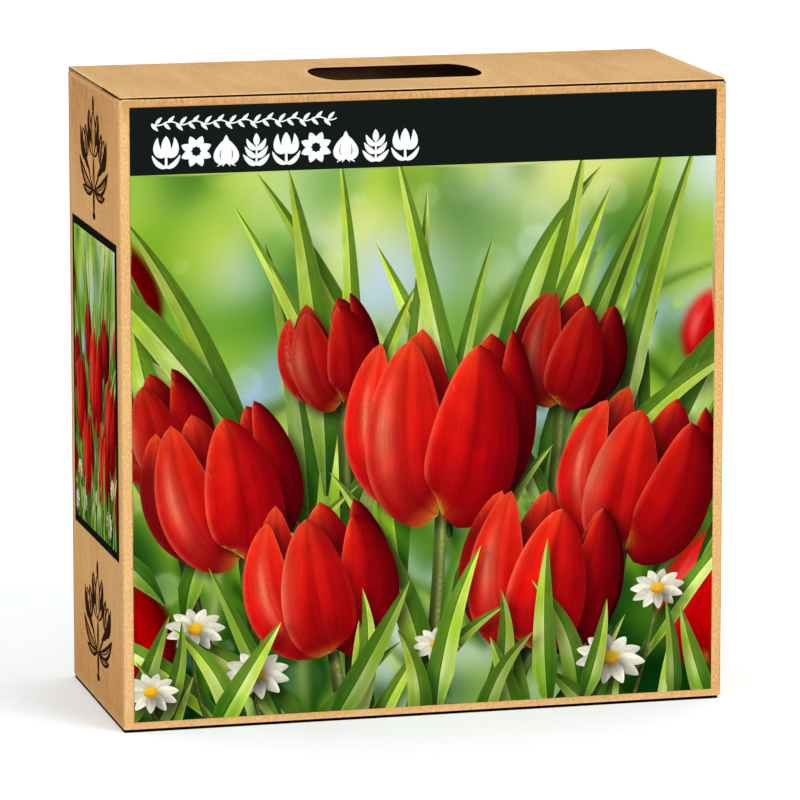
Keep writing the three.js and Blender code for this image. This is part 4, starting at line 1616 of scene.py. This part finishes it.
class Bulb:
    """The outside of one bulb: two thick scales that meet in a cleft, furrowed and lumpy."""

    def __init__(self, node, across, turn):
        low, high = cad_box(node)
        self.across, self.turn = across, turn
        self.place = np.array([(low[0] + high[0]) / 2, (low[1] + high[1]) / 2, low[2]])
        rng = random.Random(node)
        self.phases = [rng.uniform(0, 2 * math.pi) for _ in range(12)]
        self.rng = rng
        base = [(r, 0.012 * math.cos(r / 0.21 * math.pi / 2)) for r in (0.04, 0.08, 0.12, 0.16, 0.19)]
        side = smooth_line(BULB_OUTLINE, 7)
        floor = [(r, BULB_HOLE_FLOOR + 0.2 * r) for r in (0.07, 0.045, 0.02)]
        self.outline = np.concatenate([base, side, floor])
        self.rows = len(self.outline)

    def at(self, row, angle, proud=0.0):
        """Points in millimetres at rows of the outline and angles round it, and how brown they are."""
        rows = np.arange(self.rows)
        radius, height = (np.interp(row, rows, self.outline[:, i]) for i in (0, 1))
        p = self.phases
        rise = step(0.02, 0.3, height)
        outside = step(self.rows - 12, self.rows - 20, row)
        seam = angle + 0.16 * np.sin(5 * height + p[0])
        off = (seam + math.pi / 2) % math.pi - math.pi / 2
        cleft = 0.062 * hump(off, 0, 0.09) + 0.02 * hump(off, 0, 0.3)
        lip = 0.022 * np.exp(-np.maximum(off, 0) / 0.45) * step(-0.02, 0.05, off)
        lumps = (0.012 * np.cos(2 * angle + p[1]) * np.cos(4 * height + p[2])
                 + 0.007 * np.cos(3 * angle + 6 * height + p[3]))
        furrows = (0.006 * np.cos(7 * angle + 2 * np.sin(4 * height) + p[4])
                   + 0.004 * np.cos(13 * angle + 3 * np.sin(5 * height + p[5]) + p[6]))
        wrinkles = (0.0022 * np.cos(37 * angle + 2.5 * np.sin(11 * height + p[7]) + p[8])
                    + 0.0016 * np.cos(61 * angle + 3 * np.sin(17 * height) + p[9]))
        near_ends = 0.35 + 0.65 * np.maximum(step(0.45, 0.72, height), step(0.16, 0.03, height))
        shift = rise * (lumps + furrows * outside - cleft * outside + lip * outside - 0.012)
        scale = 1 + (shift + wrinkles * near_ends) / np.maximum(radius, 0.12) * 0.5
        wavy_top = 0.014 * np.cos(2 * angle + p[10]) + 0.008 * np.cos(5 * angle + p[11]) - 0.02
        size = radius * scale * self.across + proud
        x, y = size * np.cos(angle + self.turn), size * np.sin(angle + self.turn)
        z = (height + step(0.6, 0.76, height) * wavy_top) * self.across + proud * step(0.3, 0.7, height)
        brown = np.maximum(hump(off, 0, 0.06) * rise * outside, step(0.1, 0.0, height))
        brown = np.maximum(brown, np.maximum(step(0.69, 0.75, height) * 0.8, 1 - outside))
        return self.place + np.stack([x, y, z], -1), brown

    def flesh(self):
        sheet = Sheet()
        n = BULB_COLUMNS
        rows, columns = (a.ravel() for a in np.meshgrid(
            np.arange(self.rows), np.arange(n) / n * 2 * math.pi, indexing="ij"))
        points, brown = self.at(rows, columns)
        poles = self.place + [[0, 0, 0.012 * self.across], [0, 0, BULB_HOLE_FLOOR * self.across]]
        end, last = len(points), (self.rows - 1) * n
        faces = ring_faces(self.rows, n)
        faces += [[end, (c + 1) % n, c] for c in range(n)]
        faces += [[end + 1, last + c, last + (c + 1) % n] for c in range(n)]
        blank = np.column_stack([columns, rows])
        sheet.add(np.concatenate([points, poles]), np.concatenate([blank, [[0, 0], [0, 0]]]),
                  np.concatenate([brown, [1, 1]]), faces, [0] * len(faces))
        return sheet

    def skin(self):
        """Scraps of last year's papery skin, each a thin curved sheet with a torn and lifted edge."""
        sheet = Sheet()
        long, wide = SKIN_GRID
        n = long * wide
        index = np.arange(n).reshape(SKIN_GRID)
        quads = [[index[i, j], index[i + 1, j], index[i + 1, j + 1], index[i, j + 1]]
                 for i in range(long - 1) for j in range(wide - 1)]
        rim = [*index[:, 0], *index[-1, 1:], *index[-2::-1, -1], *index[0, -2:0:-1]]
        faces = quads + [[k + n for k in quad[::-1]] for quad in quads]
        faces += [[after, here, here + n, after + n] for here, after in zip(rim, rim[1:] + rim[:1])]
        spread = np.meshgrid(*(np.linspace(-1, 1, size) for size in SKIN_GRID), indexing="ij")
        u, v = (a.ravel() for a in spread)
        far, around = np.maximum(np.abs(u), np.abs(v)), np.arctan2(v, u)
        disc = far / np.maximum(np.hypot(u, v), 1e-6)
        for patch in range(SKIN_SCRAPS):
            middle = patch * 2.1 + self.rng.uniform(-0.3, 0.3)
            low_row = self.rng.uniform(8, 16) if patch % 2 else self.rng.uniform(30, 42)
            reach, height = self.rng.uniform(0.3, 0.62), self.rng.uniform(11, 19)
            wave = [self.rng.uniform(0, 6.3) for _ in range(6)]
            torn = (1 + 0.16 * np.sin(3 * around + wave[0]) + 0.1 * np.sin(7 * around + wave[1])
                    + 0.07 * np.sin(17 * around + wave[2]) + 0.05 * np.sin(31 * around + wave[3]))
            a = u * disc * (0.35 + 0.65 * torn) * reach
            r = v * disc * (0.35 + 0.65 * torn) * height
            curl = (0.35 + 1.5 * step(0.75, 1, far) * (0.5 + 0.5 * np.sin(4 * around + wave[4]))
                    + 0.12 * np.sin(40 * a + wave[5]))
            rows = np.clip(low_row + height + r, 5, self.rows - 14)
            both = [self.at(rows, middle + a, curl + lift)[0] for lift in (0.16, 0.0)]
            sheet.add(np.concatenate(both), np.tile(np.column_stack([a * 40, rows * 1.6]), (2, 1)),
                      np.tile(step(0.7, 1, far), 2), faces, [0] * len(faces))
        return sheet

    def roots(self):
        """The dried roots round the root plate, cut short."""
        sheet = Sheet()
        t = np.linspace(0, 1, 9)
        for i in range(ROOTS):
            angle = i * 2.399 + self.rng.uniform(-0.2, 0.2)
            reach, bend = self.rng.uniform(0.05, 0.14), self.rng.uniform(-0.35, 0.35)
            radius = self.rng.uniform(0.17, 0.23) + reach * t
            turned = angle + bend * t ** 2
            thick = (0.9 - 0.35 * t) * self.rng.uniform(0.8, 1.15)
            lowest = np.maximum(0.0, (radius - 0.2) * 0.35)
            height = 0.95 + self.across * lowest * (0.35 + 0.3 * np.sin(5 * t + i))
            out = radius * self.across
            line = np.column_stack([out * np.cos(turned), out * np.sin(turned), height])
            add_tube(sheet, line + self.place, thick)
        return sheet


def add_tube(sheet, line, radii):
    """A closed tube along the line, its rings turned to face along it."""
    along = unit(np.gradient(line, axis=0))
    side = unit(np.cross(along, [0, 0, 1.0]))
    up = np.cross(side, along)
    angles = np.arange(ROOT_SIDES) / ROOT_SIDES * 2 * math.pi
    round_it = np.cos(angles)[:, None] * side[:, None] + np.sin(angles)[:, None] * up[:, None]
    rings = line[:, None] + radii[:, None, None] * round_it
    n = len(line)
    faces = ring_faces(n, ROOT_SIDES)
    faces += [list(range(ROOT_SIDES))[::-1], list(range((n - 1) * ROOT_SIDES, n * ROOT_SIDES))]
    blank = np.column_stack([np.tile(np.arange(ROOT_SIDES), n), np.repeat(walk(line), ROOT_SIDES)])
    sheet.add(rings.reshape(-1, 3), blank, 0.0, faces, [0] * len(faces))


def bulb_flesh(name):
    """Cream fleshy scales, with corky brown where the attribute says and in scattered scars."""
    n = Nodes(name)
    place = n.millimetres()
    clouds, grit = n.noise(place, 1 / 16, 3), n.noise(place, 1 / 0.8, 2)
    mottle = n.noise(place, 1 / 3.2, 4, (1, 1, 2.2), 0.65)
    rust = n.math("ADD", n.attribute("wear"), n.math("MULTIPLY", n.math("SUBTRACT", mottle, 0.5), 1.5))
    scars = n.weighted((n.noise(place, 1 / 9, 2), 1.0), (grit, 0.12))
    colour = n.tints(
        n.mix(n.ramp(clouds, 0.32, 0.68), rgb(214, 190, 138), rgb(236, 220, 180)),
        (n.ramp(mottle, 0.5, 0.8), 0.5, (196, 152, 98)),
        (n.ramp(rust, 0.3, 0.85), 0.9, (128, 84, 48)),
        (n.ramp(scars, 0.64, 0.7), 0.7, (146, 98, 56)))
    n.paint(colour, mottle, 0.5, 0.78)
    n.bump(n.weighted((mottle, 1.0), (grit, 0.5)), 0.5, 0.0003)
    return n.material


def dry_skin(name, light, dark):
    """Thin dry brown tissue, streaked lengthwise."""
    n = Nodes(name)
    blank = n.attribute("blank", "Vector")
    streak, clouds = n.noise(blank, 1 / 0.9, 3, (1, 9, 1)), n.noise(blank, 1 / 7, 2)
    colour = n.tints(
        n.mix(n.ramp(streak, 0.3, 0.7), rgb(*dark), rgb(*light)),
        (n.ramp(clouds, 0.45, 0.7), 0.4, (96, 58, 30)), (n.attribute("wear"), 0.4, (222, 188, 136)))
    n.paint(colour, streak, 0.45, 0.7)
    n.bump(streak, 0.5, 0.0002)
    return n.material


def bulbs():
    flesh = bulb_flesh("bulb_flesh")
    skin = dry_skin("dry_bulb_skin", (176, 122, 70), (122, 78, 42))
    root = dry_skin("dry_root", (186, 146, 96), (140, 100, 60))
    for node, across, turn in BULBS:
        bulb = Bulb(node, across, turn)
        bulb.flesh().make(node + "_flesh", "root", "bulb_scale", [flesh], [node], smooth=True)
        bulb.skin().make(node + "_skin", "root", "bulb_scale", [skin], smooth=True)
        bulb.roots().make(node + "_roots", "root", "bulb_scale", [root], smooth=True)


# ---- stage ----

CAMERA_PLACE = (-0.6871, -2.7165, 0.6574)
CAMERA_TURN, CAMERA_DIP = math.radians(14.25), math.radians(10.36)
CAMERA_LENS = 259.8


def camera():
    data = bpy.data.cameras.new("camera")
    data.lens, data.sensor_width, data.clip_end = CAMERA_LENS, 36.0, 100.0
    eye = placed("camera", data)
    eye.location = CAMERA_PLACE
    eye.rotation_euler = (math.pi / 2 - CAMERA_DIP, 0.0, -CAMERA_TURN)
    bpy.context.scene.camera = eye


SKY = 1.0  # brightness of the even light from all round
SUN = 1.8  # and of the broad soft light from the camera's right
FLOOR_GLOW = 0.12  # light that the floor gives itself, as a light table does
SUN_TURN, SUN_HEIGHT, SUN_WIDTH = math.radians(35), math.radians(19.5), math.radians(38)


def studio():
    bpy.context.scene.view_settings.view_transform = "Standard"
    world = bpy.data.worlds.new("studio")
    bpy.context.scene.world = world
    world.use_nodes = True
    sky = world.node_tree.nodes["Background"].inputs
    sky["Color"].default_value = (1.0, 1.0, 1.0, 1.0)
    sky["Strength"].default_value = SKY
    data = bpy.data.lights.new("soft_light", "SUN")
    data.energy, data.angle = SUN, SUN_WIDTH
    lamp = placed("soft_light", data)
    lamp.location = (1.5, -2.0, 3.0)
    lamp.rotation_euler = (math.pi / 2 - SUN_HEIGHT, 0.0, SUN_TURN)


def floor():
    n = Nodes("pale_floor", specular=0.0)
    colour = n.mix(n.noise(n.metres(), 3.0), (0.945, 0.958, 0.968, 1), (0.955, 0.968, 0.978, 1))
    n.set(Base_Color=colour, Roughness=0.8, Emission_Color=(0.55, 0.83, 1.0, 1.0),
          Emission_Strength=FLOOR_GLOW)
    mesh = bpy.data.meshes.new("floor")
    mesh.from_pydata([(-30, -30, 0), (30, -30, 0), (30, 30, 0), (-30, 30, 0)], [], [(0, 1, 2, 3)])
    mesh.materials.append(n.material)
    placed("floor", mesh)


# ---- the carton ----

def carton():
    edge = cut_edge("waved_paper", (138, 98, 56), (92, 60, 32))
    # The hollow look is painted shade: near black, for the hollow between the papers, the lid's fold recess
    # and cut edges in shade.
    hollow = cut_edge("board_hollow", (60, 21, 3), (33, 10, 1))
    outside = kraft("kraft_outside", (207, 167, 110), (194, 153, 96), 1.0)
    # The inner liner is painted darker: partly a darker liner, partly painted shade for the carton's inside.
    inside = kraft("kraft_inside", (152, 115, 74), (132, 97, 61), 0.6)
    materials = [outside, inside, edge, hollow]
    walls(materials)
    hinge_crease(materials)
    lid(materials)
    lid_front_fold(materials)
    tuck_flap(materials)
    for side, name in ((-1, "dust_flap_left"), (1, "dust_flap_right")):
        dust_flap(name, side, materials)
    # Painted shade: near-black edges on the outer bottom, a painted contact shadow along the carton's foot.
    contact_shade = cut_edge("dark_base_edge", (20, 13, 8), (9, 6, 4))
    bottom(materials, [outside, inside, contact_shade, contact_shade])
    glue_flap(materials)


camera()
studio()
floor()
carton()
prints()
bulbs()
